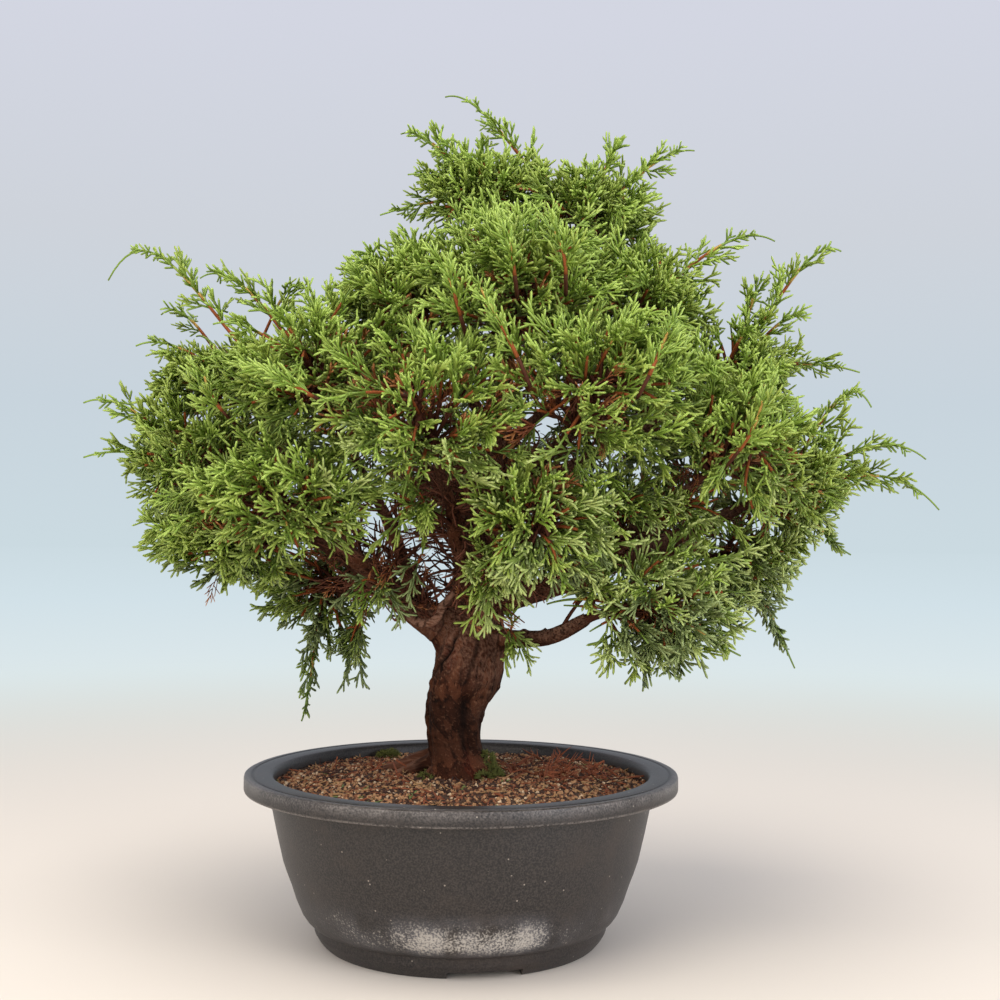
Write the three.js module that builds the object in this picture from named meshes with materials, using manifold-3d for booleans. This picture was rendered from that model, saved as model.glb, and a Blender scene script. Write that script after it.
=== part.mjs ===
// An Itoigawa Chinese juniper grown as a bonsai, in a round plastic training pot.
// Millimetres, +Z up. The pot stands on z = 0. Everything is laid out from the pot's own axis, and the
// whole plant is then shifted so that the origin is the centre of its footprint box on the ground.
import * as THREE from "three";
import { mergeVertices } from "three/addons/utils/BufferGeometryUtils.js";
import Module from "manifold-3d";

const wasm = await Module();
wasm.setup();

// Driving sizes
const CLEARANCE = 0.3; // gap between neighbours that touch on the real plant
const POT_RADIUS = 150; // outside of the rim
const POT_HEIGHT = 115;
const POT_SEGMENTS = 32;
const RIM_BAND = 10.7; // height of the rim's outer band
const RIM_OPENING = 131; // radius of the mouth
const WALL = 3;
const FOOT_RADIUS = 95.5;
const FOOT_INSIDE = 87;
const FOOT_RISE = 6; // from the ground to the underside of the floor
const FOOT_GAPS = 3;
const FOOT_GAP_WIDTH = 48;
const FOOT_GAP_HEIGHT = 5;
const FOOT_GAP_BEARING = -79; // degrees from +X, the gap that faces the viewer
const DRAIN_RADIUS = 7;
const DRAIN_RING = 55;
const SOIL_HEIGHT = 111.5; // flat middle, on which the trunk stands
const SOIL_EDGE_DROP = 4.5;
const SOIL_MIDDLE = 72; // radius of the flat middle
const TRUNK_SIDES = 12;
const LIMB_SIDES = 5;
const TWIG_SIDES = 3;

const BARK = new THREE.MeshStandardMaterial({ color: 0x6b4535, roughness: 0.85, metalness: 0 });
const PLASTIC = new THREE.MeshStandardMaterial({ color: 0x46423f, roughness: 0.55, metalness: 0 });
const SOIL = new THREE.MeshStandardMaterial({ color: 0x8a6647, roughness: 1, metalness: 0 });
const FOLIAGE = new THREE.MeshStandardMaterial({ color: 0x5f8a35, roughness: 0.7, metalness: 0 });

const radians = THREE.MathUtils.degToRad;
const point = (x, y, z) => new THREE.Vector3(x, y, z);

// Solids: a three.js geometry goes to manifold-3d to be joined or cut, and comes back as a geometry
function toSolid(geometry) {
  const bare = new THREE.BufferGeometry().setAttribute("position", geometry.getAttribute("position"));
  if (geometry.index) bare.setIndex(geometry.index);
  const merged = mergeVertices(bare, 1e-3);
  const corners = merged.index.array;
  const triangles = [];
  for (let i = 0; i < corners.length; i += 3) {
    const [a, b, c] = corners.slice(i, i + 3);
    if (a !== b && b !== c && a !== c) triangles.push(a, b, c);
  }
  return new wasm.Manifold(
    new wasm.Mesh({
      numProp: 3,
      vertProperties: new Float32Array(merged.attributes.position.array),
      triVerts: new Uint32Array(triangles),
    }),
  );
}

function toGeometry(solid) {
  const mesh = solid.getMesh();
  const geometry = new THREE.BufferGeometry();
  geometry.setAttribute("position", new THREE.BufferAttribute(mesh.vertProperties, mesh.numProp));
  geometry.setIndex(new THREE.BufferAttribute(mesh.triVerts, 1));
  return geometry;
}

// The largest piece of a solid, without the scraps that a cut or a missed join leaves
function largestPiece(solid) {
  const pieces = solid.asOriginal().simplify(0.1).decompose();
  return pieces.reduce((best, piece) => (piece.volume() > best.volume() ? piece : best));
}

function nodeMesh(name, solid, material) {
  const mesh = new THREE.Mesh(toGeometry(solid), material);
  mesh.name = name;
  return mesh;
}

function turned(profile) {
  const outline = profile.map(([radius, height]) => new THREE.Vector2(radius, height));
  return toSolid(new THREE.LatheGeometry(outline, POT_SEGMENTS).rotateX(Math.PI / 2));
}

// A closed cylinder bent along a curve, with a radius that changes on the way. overrun lengthens both ends.
function taperedLimb(curve, radiusAt, sides, steps, overrun = 0) {
  const geometry = new THREE.CylinderGeometry(1, 1, 1, sides, steps);
  const frames = curve.computeFrenetFrames(steps);
  const spot = geometry.getAttribute("position");
  for (let i = 0; i < spot.count; i++) {
    const share = spot.getY(i) + 0.5;
    const step = Math.round(share * steps);
    const radius = radiusAt(share);
    const beyond = (step === steps) - (step === 0);
    const place = curve
      .getPointAt(share)
      .addScaledVector(frames.tangents[step], beyond * overrun)
      .addScaledVector(frames.normals[step], -spot.getX(i) * radius)
      .addScaledVector(frames.binormals[step], spot.getZ(i) * radius);
    spot.setXYZ(i, place.x, place.y, place.z);
  }
  return toSolid(geometry);
}

// Pot: a turned shell with a flange, and gaps in its foot ring
const footFlare = FOOT_RADIUS + 5.3;
const underRim = POT_HEIGHT - RIM_BAND;
const potOutside = [
  [FOOT_RADIUS, 0],
  [footFlare, 8],
  [footFlare + 0.3, 13.6],
  [footFlare + 3.4, 15],
  [footFlare + 9, 22],
  [footFlare + 16.3, 41],
  [footFlare + 22.2, 57],
  [footFlare + 30, 92],
  [footFlare + 31, underRim],
];
const potInside = [
  [RIM_OPENING, POT_HEIGHT],
  [RIM_OPENING - 1.5, POT_HEIGHT - 2],
  [footFlare + 30 - WALL, 92],
  [footFlare + 21 - WALL, 57],
  [footFlare + 8 - WALL, 23],
  [footFlare - WALL, 13],
];
const potProfile = [
  [0, FOOT_RISE],
  [FOOT_INSIDE, FOOT_RISE],
  [FOOT_INSIDE, 0],
  ...potOutside,
  [POT_RADIUS - 1, underRim],
  [POT_RADIUS, underRim + 1.2],
  [POT_RADIUS, POT_HEIGHT - 1.5],
  [POT_RADIUS - 1.5, POT_HEIGHT],
  ...potInside,
  [footFlare - WALL - 5, FOOT_RISE + WALL],
  [0, FOOT_RISE + WALL],
];

function cutFootGaps(pot) {
  for (let i = 0; i < FOOT_GAPS; i++) {
    const gap = new THREE.BoxGeometry(40, FOOT_GAP_WIDTH, FOOT_GAP_HEIGHT * 2)
      .translate(FOOT_RADIUS, 0, 0)
      .rotateZ(radians(FOOT_GAP_BEARING + (i * 360) / FOOT_GAPS));
    pot = pot.subtract(toSolid(gap));
  }
  return pot;
}

function drillDrains(pot) {
  const drains = [point(0, 0, FOOT_RISE)];
  for (let i = 0; i < 4; i++) {
    drains.push(point(DRAIN_RING, 0, FOOT_RISE).applyAxisAngle(point(0, 0, 1), radians(45 + i * 90)));
  }
  for (const centre of drains) {
    const drain = new THREE.CylinderGeometry(DRAIN_RADIUS, DRAIN_RADIUS, 20, 10).rotateX(Math.PI / 2);
    pot = pot.subtract(toSolid(drain.translate(centre.x, centre.y, centre.z)));
  }
  return pot;
}

const pot = drillDrains(cutFootGaps(turned(potProfile)));

// Soil: fills the pot to just under its rim, flat in the middle and lower at the wall
const soilWall = potInside
  .slice(2)
  .reverse()
  .map(([radius, height]) => [radius - CLEARANCE, height]);
const soilProfile = [
  [0, FOOT_RISE + WALL + CLEARANCE],
  [footFlare - WALL - 5 - CLEARANCE, FOOT_RISE + WALL + CLEARANCE],
  ...soilWall,
  [RIM_OPENING - 2.4, SOIL_HEIGHT - SOIL_EDGE_DROP],
  [SOIL_MIDDLE, SOIL_HEIGHT],
  [0, SOIL_HEIGHT],
];
const soil = turned(soilProfile);

// Trunk: height above the soil, place of its centre and radius at each station
const TRUNK_FOOT = SOIL_HEIGHT + CLEARANCE;
const TRUNK_STATIONS = [
  { height: 0, x: -1, y: 0, radius: 22 },
  { height: 9, x: -3.5, y: 0, radius: 19 },
  { height: 24, x: -6, y: 0, radius: 18.2 },
  { height: 40, x: -6.5, y: 0, radius: 19.4 },
  { height: 56, x: -4.5, y: 0, radius: 22 },
  { height: 72, x: 1.5, y: 0, radius: 25.5 },
  { height: 90, x: 5, y: 2, radius: 26.2 },
  { height: 108, x: 6, y: 5, radius: 22 },
  { height: 130, x: 7, y: 8, radius: 15.5 },
  { height: 165, x: 12, y: 10, radius: 12.5 },
  { height: 205, x: 19, y: 9, radius: 10.5 },
  { height: 262, x: 24, y: 6, radius: 8 },
  { height: 325, x: 28, y: 4, radius: 6 },
  { height: 382, x: 22, y: 1, radius: 4.2 },
];
const ROOT_SPURS = [
  { bearing: 152, reach: 34, radius: 8.5 },
  { bearing: 205, reach: 22, radius: 7.5 },
  { bearing: 285, reach: 24, radius: 8.5 },
  { bearing: 350, reach: 22, radius: 7.5 },
  { bearing: 75, reach: 24, radius: 8 },
];

const trunkCurve = new THREE.CatmullRomCurve3(
  TRUNK_STATIONS.map(({ height, x, y }) => point(x, y, TRUNK_FOOT + height)),
);

function trunkRadiusAt(share) {
  const height = trunkCurve.getPointAt(share).z - TRUNK_FOOT;
  const upper = TRUNK_STATIONS.findIndex((station) => station.height >= height - 1e-6);
  if (upper <= 0) return TRUNK_STATIONS[0].radius;
  const [low, high] = [TRUNK_STATIONS[upper - 1], TRUNK_STATIONS[upper]];
  return THREE.MathUtils.mapLinear(height, low.height, high.height, low.radius, high.radius);
}

function rootSpur({ bearing, reach, radius }) {
  const away = point(Math.cos(radians(bearing)), Math.sin(radians(bearing)), 0);
  const inside = TRUNK_STATIONS[0];
  const start = point(inside.x, inside.y, TRUNK_FOOT + 17);
  const shoulder = start.clone().addScaledVector(away, 15).setZ(TRUNK_FOOT + 7);
  const end = start.clone().addScaledVector(away, reach).setZ(TRUNK_FOOT - radius * 0.4);
  const curve = new THREE.QuadraticBezierCurve3(start, shoulder, end);
  return taperedLimb(curve, (share) => radius * (1 - 0.45 * share), 7, 3);
}

// Limbs: the trunk and every bough, as curves with a radius, so that leaves can keep clear of them
const limbs = new Map();

function addLimb(name, curve, radiusAt, sides, steps) {
  const samples = [];
  for (let i = 0; i <= 24; i++) {
    samples.push({ centre: curve.getPointAt(i / 24), radius: radiusAt(i / 24) });
  }
  limbs.set(name, { curve, radiusAt, sides, steps, samples });
}

function limbSolid(name, extra = 0) {
  const { curve, radiusAt, sides, steps } = limbs.get(name);
  return taperedLimb(curve, (share) => radiusAt(share) + extra, sides, steps, extra);
}

addLimb("trunk", trunkCurve, trunkRadiusAt, TRUNK_SIDES, 18);

// Foliage masses: the centre and half size of each one's space, from the pot's axis and the ground.
// A leader is a long shoot whose tip stands out of the space.
const MASSES = {
  apex: { at: [8, 0, 530], half: [48, 46, 45], leaders: [[-15, 0, 591], [-46, -4, 563]] },
  crown_right: { at: [92, 8, 512], half: [54, 48, 40], leaders: [[160, 4, 555], [99, -4, 560]] },
  shoulder_left: { at: [-36, -40, 448], half: [56, 58, 45], leaders: [[-62, -30, 510]] },
  shoulder_front: { at: [36, -74, 440], half: [58, 52, 52], leaders: [] },
  shoulder_right: { at: [130, -16, 438], half: [62, 58, 46], leaders: [] },
  shoulder_back: { at: [42, 82, 452], half: [72, 56, 56], leaders: [[-10, 120, 512]] },
  left_high: { at: [-160, 4, 402], half: [58, 52, 40], leaders: [[-253, 0, 456], [-228, -18, 418]] },
  left_front: { at: [-96, -84, 384], half: [60, 58, 44], leaders: [] },
  front: { at: [-22, -122, 350], half: [60, 50, 44], leaders: [] },
  right_front: { at: [84, -118, 366], half: [60, 54, 48], leaders: [[120, -150, 402]] },
  right_high: { at: [204, 6, 420], half: [52, 50, 46], leaders: [[266, 2, 482], [214, 6, 491], [276, -6, 404]] },
  right_mid: { at: [186, -78, 344], half: [56, 52, 44], leaders: [] },
  back_left: { at: [-84, 96, 388], half: [68, 60, 48], leaders: [[-120, 150, 432]] },
  back_right: { at: [116, 108, 388], half: [70, 60, 50], leaders: [[150, 160, 436]] },
  left_far: { at: [-196, -14, 322], half: [62, 62, 48], leaders: [[-266, -8, 331], [-263, -20, 368]] },
  left_low: { at: [-118, -96, 298], half: [60, 50, 36], leaders: [] },
  left_skirt: { at: [-160, -52, 258], half: [54, 48, 30], leaders: [] },
  left_hanging: { at: [-112, 62, 236], half: [54, 50, 40], leaders: [[-110, 44, 152], [-68, 40, 190]] },
  front_low: { at: [48, -106, 284], half: [44, 36, 40], leaders: [] },
  right_low: { at: [140, -66, 229], half: [64, 54, 40], leaders: [[156, -70, 186]] },
  right_far: { at: [256, -8, 314], half: [60, 60, 46], leaders: [[331, -4, 303], [321, -10, 337], [284, -10, 371]] },
  right_hanging: { at: [214, 14, 248], half: [48, 52, 36], leaders: [[230, 2, 193]] },
  back_low: { at: [8, 146, 322], half: [68, 50, 44], leaders: [] },
  back_right_low: { at: [128, 118, 282], half: [64, 52, 42], leaders: [[176, 168, 262]] },
  left_back: { at: [-160, 80, 322], half: [60, 54, 46], leaders: [[-212, 118, 336]] },
  right_back: { at: [214, 92, 352], half: [58, 54, 46], leaders: [[262, 128, 380]] },
};
for (const mass of Object.values(MASSES)) {
  mass.centre = point(...mass.at);
  mass.tips = mass.leaders.map((tip) => point(...tip));
}

// Distance from a mass's centre, with 1 at the edge of its space
function reachIn(mass, place) {
  const [x, y, z] = mass.half;
  return Math.hypot(
    (place.x - mass.centre.x) / x,
    (place.y - mass.centre.y) / y,
    (place.z - mass.centre.z) / z,
  );
}

// Boughs: each leaves its parent at a share of the parent's length and ends where it enters its mass.
// leave and arrive are its slopes in degrees above level at either end.
const BOUGH_END = 0.86; // depth at which a bough ends in its mass's space
const BOUGHS = {
  bough_left: { parent: "trunk", share: 0.23, mass: "left_far", leave: 28, arrive: 22, butt: 12, tip: 4.4 },
  bough_right: { parent: "trunk", share: 0.29, mass: "right_far", leave: 10, arrive: 26, butt: 9.5, tip: 4 },
  bough_right_low: { parent: "trunk", share: 0.25, mass: "right_low", leave: -16, arrive: 30, butt: 7.6, tip: 4.2 },
  bough_front_low: { parent: "trunk", share: 0.27, mass: "front_low", leave: 30, arrive: 62, butt: 5.5, tip: 3 },
  bough_front: { parent: "trunk", share: 0.34, mass: "front", leave: 40, arrive: 38, butt: 7, tip: 3.5 },
  bough_back_low: { parent: "trunk", share: 0.3, mass: "back_low", leave: 22, arrive: 36, butt: 7, tip: 3.5 },
  bough_right_front: { parent: "trunk", share: 0.42, mass: "right_front", leave: 34, arrive: 30, butt: 6, tip: 3.2 },
  bough_back_left: { parent: "trunk", share: 0.44, mass: "back_left", leave: 30, arrive: 30, butt: 6.5, tip: 3.2 },
  bough_back_right: { parent: "trunk", share: 0.48, mass: "back_right", leave: 26, arrive: 30, butt: 6.2, tip: 3.2 },
  bough_right_high: { parent: "trunk", share: 0.5, mass: "right_high", leave: 24, arrive: 34, butt: 6, tip: 3 },
  bough_shoulder_left: { parent: "trunk", share: 0.63, mass: "shoulder_left", leave: 34, arrive: 46, butt: 4.6, tip: 2.8 },
  bough_shoulder_right: { parent: "trunk", share: 0.6, mass: "shoulder_right", leave: 26, arrive: 38, butt: 4.6, tip: 2.8 },
  bough_shoulder_front: { parent: "trunk", share: 0.66, mass: "shoulder_front", leave: 20, arrive: 34, butt: 4.2, tip: 2.6 },
  bough_shoulder_back: { parent: "trunk", share: 0.69, mass: "shoulder_back", leave: 24, arrive: 36, butt: 4.2, tip: 2.6 },
  bough_crown_right: { parent: "trunk", share: 0.83, mass: "crown_right", leave: 26, arrive: 30, butt: 3.4, tip: 2.4 },
  bough_left_hanging: { parent: "bough_left", share: 0.3, mass: "left_hanging", leave: 4, arrive: -12, butt: 5, tip: 3 },
  bough_left_low: { parent: "bough_left", share: 0.36, mass: "left_low", leave: 40, arrive: 10, butt: 5.4, tip: 3 },
  bough_left_front: { parent: "bough_left", share: 0.24, mass: "left_front", leave: 66, arrive: 50, butt: 5, tip: 3 },
  bough_left_skirt: { parent: "bough_left", share: 0.7, mass: "left_skirt", leave: -4, arrive: -30, butt: 4, tip: 2.8 },
  bough_left_high: { parent: "bough_left", share: 0.56, mass: "left_high", leave: 62, arrive: 56, butt: 5.6, tip: 3 },
  bough_right_mid: { parent: "bough_right", share: 0.4, mass: "right_mid", leave: 40, arrive: 32, butt: 5, tip: 3 },
  bough_right_hanging: { parent: "bough_right", share: 0.62, mass: "right_hanging", leave: 0, arrive: -24, butt: 4.2, tip: 2.8 },
  bough_back_right_low: { parent: "bough_right", share: 0.26, mass: "back_right_low", leave: 20, arrive: 14, butt: 5.2, tip: 3 },
  bough_left_back: { parent: "bough_left", share: 0.44, mass: "left_back", leave: 24, arrive: 30, butt: 5, tip: 3 },
  bough_right_back: { parent: "bough_right", share: 0.5, mass: "right_back", leave: 30, arrive: 34, butt: 4.6, tip: 3 },
};

function headingTo(from, to, slope) {
  const level = to.clone().sub(from).setZ(0).normalize();
  return level.multiplyScalar(Math.cos(radians(slope))).setZ(Math.sin(radians(slope)));
}

function boughCurve({ parent, share, mass, leave, arrive }) {
  const start = limbs.get(parent).curve.getPointAt(share);
  const { centre } = MASSES[mass];
  const outward = start.clone().sub(centre);
  const end = centre.clone().addScaledVector(outward, BOUGH_END / reachIn(MASSES[mass], start));
  const pull = start.distanceTo(end) * 0.38;
  return new THREE.CubicBezierCurve3(
    start,
    start.clone().addScaledVector(headingTo(start, end, leave), pull),
    end.clone().addScaledVector(headingTo(start, end, arrive), -pull),
    end,
  );
}

for (const [name, bough] of Object.entries(BOUGHS)) {
  const curve = boughCurve(bough);
  const steps = Math.max(3, Math.round(curve.getLength() / 30));
  addLimb(name, curve, (share) => THREE.MathUtils.lerp(bough.butt, bough.tip, share ** 0.8), LIMB_SIDES, steps);
  MASSES[bough.mass].limb = name;
}
MASSES.apex.limb = "trunk";

// Each limb is cut clear of the limbs made before it, so its butt fits its parent's side
const solids = new Map();
const groundBlock = toSolid(
  new THREE.BoxGeometry(400, 400, 100).translate(0, 0, TRUNK_FOOT - 50),
);
const trunk = ROOT_SPURS.map(rootSpur).reduce((all, spur) => all.add(spur), limbSolid("trunk"));
solids.set("trunk", largestPiece(trunk.subtract(groundBlock)));
for (const name of Object.keys(BOUGHS)) {
  let solid = limbSolid(name);
  for (const earlier of solids.keys()) {
    const swollen = limbSolid(earlier, CLEARANCE * 1.4);
    if (!solid.intersect(swollen).isEmpty()) solid = solid.subtract(swollen);
  }
  solids.set(name, largestPiece(solid));
}

// Growth rule: a stem runs from the limb's tip into the space. Branches leave it for points spread over the
// edge of the space, and each bears a fan of shoots at its tip and others by turns on its sides.
const GOLDEN_TURN = Math.PI * (3 - Math.sqrt(5));
const BRANCHES = 5;
const BRANCH_REACH = 0.44; // how far out in its space a branch ends
const SIDE_FANS = 1;
const LEADER_SIDE_FANS = 2;
const LEADER_STRAY = 9; // a leader may leave its space
const TWIG_BUTT = 2.4;
const TWIG_TIP = 1;
const FAN = { length: 38, width: 31, thickness: 4.5 };
const FAN_MIDDLE = 0.45; // where along the fan it is thickest
const FAN_SUNK = 1.2; // its root's depth behind the twig's axis
const FAN_SPREAD = 45; // degrees between a side fan and its branch
const SPACE_EDGE = 1.12; // furthest that a fan's corner reaches from the centre of its space
const SPACE_MARGIN = 0.06; // how much nearer a place is to its own mass than to the next
const CORE_TUFTS = 0.38; // how many of a dense core's corners stand out as tufts
const CORE_PEAK = 0.84; // how far out in the space they reach, and how far the others do
const CORE_HOLLOW = 0.48;

function seededRandom(seed) {
  let state = seed >>> 0;
  return () => {
    state = (state + 0x6d2b79f5) >>> 0;
    let mixed = Math.imul(state ^ (state >>> 15), state | 1);
    mixed ^= mixed + Math.imul(mixed ^ (mixed >>> 7), mixed | 61);
    return ((mixed ^ (mixed >>> 14)) >>> 0) / 4294967296;
  };
}

function isOwnSpace(mass, place, stray) {
  const own = reachIn(mass, place);
  if (own > stray) return false;
  return Object.values(MASSES).every(
    (other) => other === mass || reachIn(other, place) > own + SPACE_MARGIN,
  );
}

function isClearOfLimbs(place, room) {
  return [...limbs.values()].every(({ samples }) =>
    samples.every(({ centre, radius }) => centre.distanceTo(place) > radius + room),
  );
}

// A fan of five shoots: a toothed blade in the plane of along and across, thick in the middle and sharp at
// its edges, with its root just behind the twig's axis
function fanSolid(root, along, across, scale) {
  const half = [
    [0.35, 0.5],
    [0.52, 0.2],
    [0.78, 0.42],
    [0.66, 0.11],
  ];
  const mirrored = half.map(([far, wide]) => [far, -wide]).reverse();
  const outline = [[-FAN_SUNK / FAN.length, 0], ...mirrored, [1, 0], ...half.slice().reverse()];
  const up = point(0, 0, 0).crossVectors(along, across);
  const corners = outline.map(([far, wide]) => [far, wide, 0]);
  corners.push([FAN_MIDDLE, 0, 0.5], [FAN_MIDDLE, 0, -0.5]);
  const places = corners.map(([far, wide, high]) =>
    root
      .clone()
      .addScaledVector(along, far * FAN.length * scale)
      .addScaledVector(across, wide * FAN.width * scale)
      .addScaledVector(up, high * FAN.thickness * scale),
  );
  const faces = [];
  const [top, bottom] = [outline.length, outline.length + 1];
  for (let i = 0; i < outline.length; i++) {
    const next = (i + 1) % outline.length;
    faces.push(i, next, top, next, i, bottom);
  }
  const blade = new THREE.BufferGeometry().setFromPoints(places);
  return toSolid(blade.setIndex(faces));
}

function fanFits(mass, root, along, across, scale, stray) {
  const corners = [[0.3, 0], [1, 0], [0.6, 0.48], [0.6, -0.48]];
  return corners.every(([far, wide]) => {
    const place = root.clone().addScaledVector(along, far * FAN.length * scale);
    place.addScaledVector(across, wide * FAN.width * scale);
    return isOwnSpace(mass, place, stray) && isClearOfLimbs(place, FAN.thickness / 2);
  });
}

// The points that branches grow to: spread over the mass by the golden turn, but not back along its stem
function branchGoals(mass, inward) {
  const goals = [];
  for (let i = 0; i < BRANCHES + 2; i++) {
    const rise = 1 - (2 * (i + 0.5)) / (BRANCHES + 2);
    const level = Math.sqrt(1 - rise * rise);
    const turn = i * GOLDEN_TURN + mass.seed;
    const way = point(level * Math.cos(turn), level * Math.sin(turn), rise);
    if (way.dot(inward) < -0.6) continue;
    const tip = way.multiply(point(...mass.half)).multiplyScalar(BRANCH_REACH).add(mass.centre);
    goals.push({ tip, fans: SIDE_FANS, stray: SPACE_EDGE });
  }
  return goals;
}

function leaderGoals(mass) {
  return mass.tips.map((tip) => ({ tip, fans: LEADER_SIDE_FANS, stray: LEADER_STRAY }));
}

function growBranch(mass, stem, { tip, fans, stray }, random) {
  const leaving = stem.getPointAt(0.4 + 0.5 * random());
  const isLeader = stray === LEADER_STRAY;
  const length = leaving.distanceTo(tip);
  const end = isLeader ? tip.clone().lerp(leaving, (FAN.length * 0.8) / length) : tip;
  const middle = leaving.clone().lerp(end, 0.5).add(point(0, 0, 0.1 * length));
  const branch = new THREE.QuadraticBezierCurve3(leaving, middle, end);
  const fits = [0.25, 0.5, 0.75, 1].every((share) => {
    const place = branch.getPointAt(share);
    return isOwnSpace(mass, place, stray) && isClearOfLimbs(place, TWIG_BUTT);
  });
  const thickness = (share) => THREE.MathUtils.lerp(TWIG_BUTT, TWIG_TIP, share);
  const parts = fits ? [taperedLimb(branch, thickness, TWIG_SIDES, isLeader ? 3 : 1)] : [];
  for (let i = 0; i <= fans; i++) {
    const isTip = i === fans;
    const share = isTip ? 0.96 : 0.5 + (0.4 * i) / fans;
    const along = branch.getTangentAt(share);
    const turn = i * Math.PI + 1.2 * random();
    const across = point(0, 0, 1).cross(along).normalize().applyAxisAngle(along, turn);
    if (!isTip) {
      const axis = point(0, 0, 0).crossVectors(along, across);
      along.applyAxisAngle(axis, radians(FAN_SPREAD));
      across.applyAxisAngle(axis, radians(FAN_SPREAD));
    }
    const scale = (isLeader ? 0.8 : 0.9) + 0.2 * random() * (isLeader ? 0 : 1);
    const root = branch.getPointAt(share);
    if (fits && fanFits(mass, root, along, across, scale, stray)) {
      parts.push(fanSolid(root, along, across, scale));
    }
  }
  return parts;
}

// A lumpy core whose corners reach as far as the mass's own space lets them, cut clear of the limbs
function massCore(mass, random) {
  const ball = new THREE.IcosahedronGeometry(1, 1).rotateZ(mass.seed);
  const core = mergeVertices(new THREE.BufferGeometry().setAttribute("position", ball.getAttribute("position")));
  const corners = core.getAttribute("position");
  for (let i = 0; i < corners.count; i++) {
    const way = point(0, 0, 0).fromBufferAttribute(corners, i).multiply(point(...mass.half));
    let reach = (random() < CORE_TUFTS ? CORE_PEAK : CORE_HOLLOW) + 0.1 * random();
    while (reach > 0.2 && !isOwnSpace(mass, mass.centre.clone().addScaledVector(way, reach), 1)) reach -= 0.03;
    const corner = mass.centre.clone().addScaledVector(way, reach);
    corners.setXYZ(i, corner.x, corner.y, corner.z);
  }
  let solid = toSolid(core);
  for (const name of limbs.keys()) solid = solid.subtract(limbSolid(name, CLEARANCE * 1.6));
  return solid;
}

function growMass(mass) {
  const random = seededRandom(mass.seed);
  const limb = limbs.get(mass.limb);
  const tip = limb.curve.getPointAt(1);
  const inward = limb.curve.getTangentAt(1);
  const root = tip.clone().addScaledVector(inward, CLEARANCE);
  const heart = root.clone().lerp(mass.centre, 0.9);
  const stem = new THREE.QuadraticBezierCurve3(root, root.clone().addScaledVector(inward, 12), heart);
  const stemRadius = limb.radiusAt(1) * 0.9;
  const parts = [taperedLimb(stem, (share) => stemRadius * (1 - 0.35 * share), 5, 2)];
  parts.push(massCore(mass, random));
  for (const goal of [...branchGoals(mass, inward), ...leaderGoals(mass)]) {
    parts.push(...growBranch(mass, stem, goal, random));
  }
  return largestPiece(wasm.Manifold.union(parts));
}

// The plant, moved so that the origin is the centre of its footprint box
const plant = new THREE.Group();
plant.add(nodeMesh("pot", pot, PLASTIC));
plant.add(nodeMesh("soil", soil, SOIL));
for (const [name, solid] of solids) plant.add(nodeMesh(name, solid, BARK));
Object.entries(MASSES).forEach(([name, mass], index) => {
  mass.seed = 12 + index * 7;
  plant.add(nodeMesh(`foliage_${name}`, growMass(mass), FOLIAGE));
});

const footprint = new THREE.Box3().setFromObject(plant, true);
const middle = footprint.getCenter(point(0, 0, 0));
plant.position.set(-middle.x, -middle.y, 0);

export default plant;
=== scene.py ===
# %% [markdown]
# # An Itoigawa juniper bonsai in its training pot
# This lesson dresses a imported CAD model. The CAD holds a plain pot, soil, trunk, boughs and one rough
# solid for each mass of foliage. Here each of them is replaced by the thing itself: a moulded pot, soil
# made of grains, bark with relief, and foliage grown by the same rule, down to the single shoots. Loose
# sprays reach out past the space of their mass, so most spaces here are a little smaller than in the CAD,
# and some sit a little to the side.
# Sizes are written in millimetres from the pot's own axis, and turned to metres once.

# %% Load the frame
import math

import bmesh
import bpy
import numpy as np
from mathutils import Matrix, Vector


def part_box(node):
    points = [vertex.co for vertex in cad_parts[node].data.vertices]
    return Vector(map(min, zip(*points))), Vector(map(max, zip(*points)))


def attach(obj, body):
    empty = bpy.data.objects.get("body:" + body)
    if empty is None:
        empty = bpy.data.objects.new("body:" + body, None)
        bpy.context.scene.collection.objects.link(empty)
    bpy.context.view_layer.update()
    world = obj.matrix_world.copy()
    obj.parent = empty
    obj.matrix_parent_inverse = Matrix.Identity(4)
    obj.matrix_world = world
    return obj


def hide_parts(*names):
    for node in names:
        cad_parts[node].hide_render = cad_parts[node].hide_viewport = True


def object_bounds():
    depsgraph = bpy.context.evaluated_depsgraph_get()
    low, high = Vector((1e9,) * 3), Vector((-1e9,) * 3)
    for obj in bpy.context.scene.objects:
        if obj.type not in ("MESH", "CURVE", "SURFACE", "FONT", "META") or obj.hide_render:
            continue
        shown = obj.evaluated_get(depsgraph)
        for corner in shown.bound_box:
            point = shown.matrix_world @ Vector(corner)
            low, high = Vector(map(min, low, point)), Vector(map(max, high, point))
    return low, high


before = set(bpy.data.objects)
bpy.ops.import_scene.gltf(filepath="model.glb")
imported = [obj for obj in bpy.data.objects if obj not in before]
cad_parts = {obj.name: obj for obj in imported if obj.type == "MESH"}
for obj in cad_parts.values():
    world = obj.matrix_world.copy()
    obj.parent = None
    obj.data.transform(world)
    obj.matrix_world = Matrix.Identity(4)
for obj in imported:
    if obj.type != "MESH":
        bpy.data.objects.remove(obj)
cad_low, cad_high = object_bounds()
pot_low, pot_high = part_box("pot")
MM = 0.001
AXIS = np.array([(pot_low.x + pot_high.x) / 2, (pot_low.y + pot_high.y) / 2, 0.0])
print("pot axis at", AXIS.round(4), "and", len(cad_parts), "CAD nodes")

# %% [markdown]
# ## Camera
# The photograph was taken from just under the crown's middle, almost level, about a metre away. The
# camera's place was worked out from the ellipses of the pot's rim and foot, so the lens is the one that
# makes all of them fit. It tilts up a little and is turned by less than half a degree.

# %% Camera
CAMERA_FROM_AXIS = (25.2, -958, 273)
CAMERA_PITCH = 1.84
CAMERA_ROLL = 0.43
FOCAL_PIXELS = 1362
IMAGE_PIXELS = 1000

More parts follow.
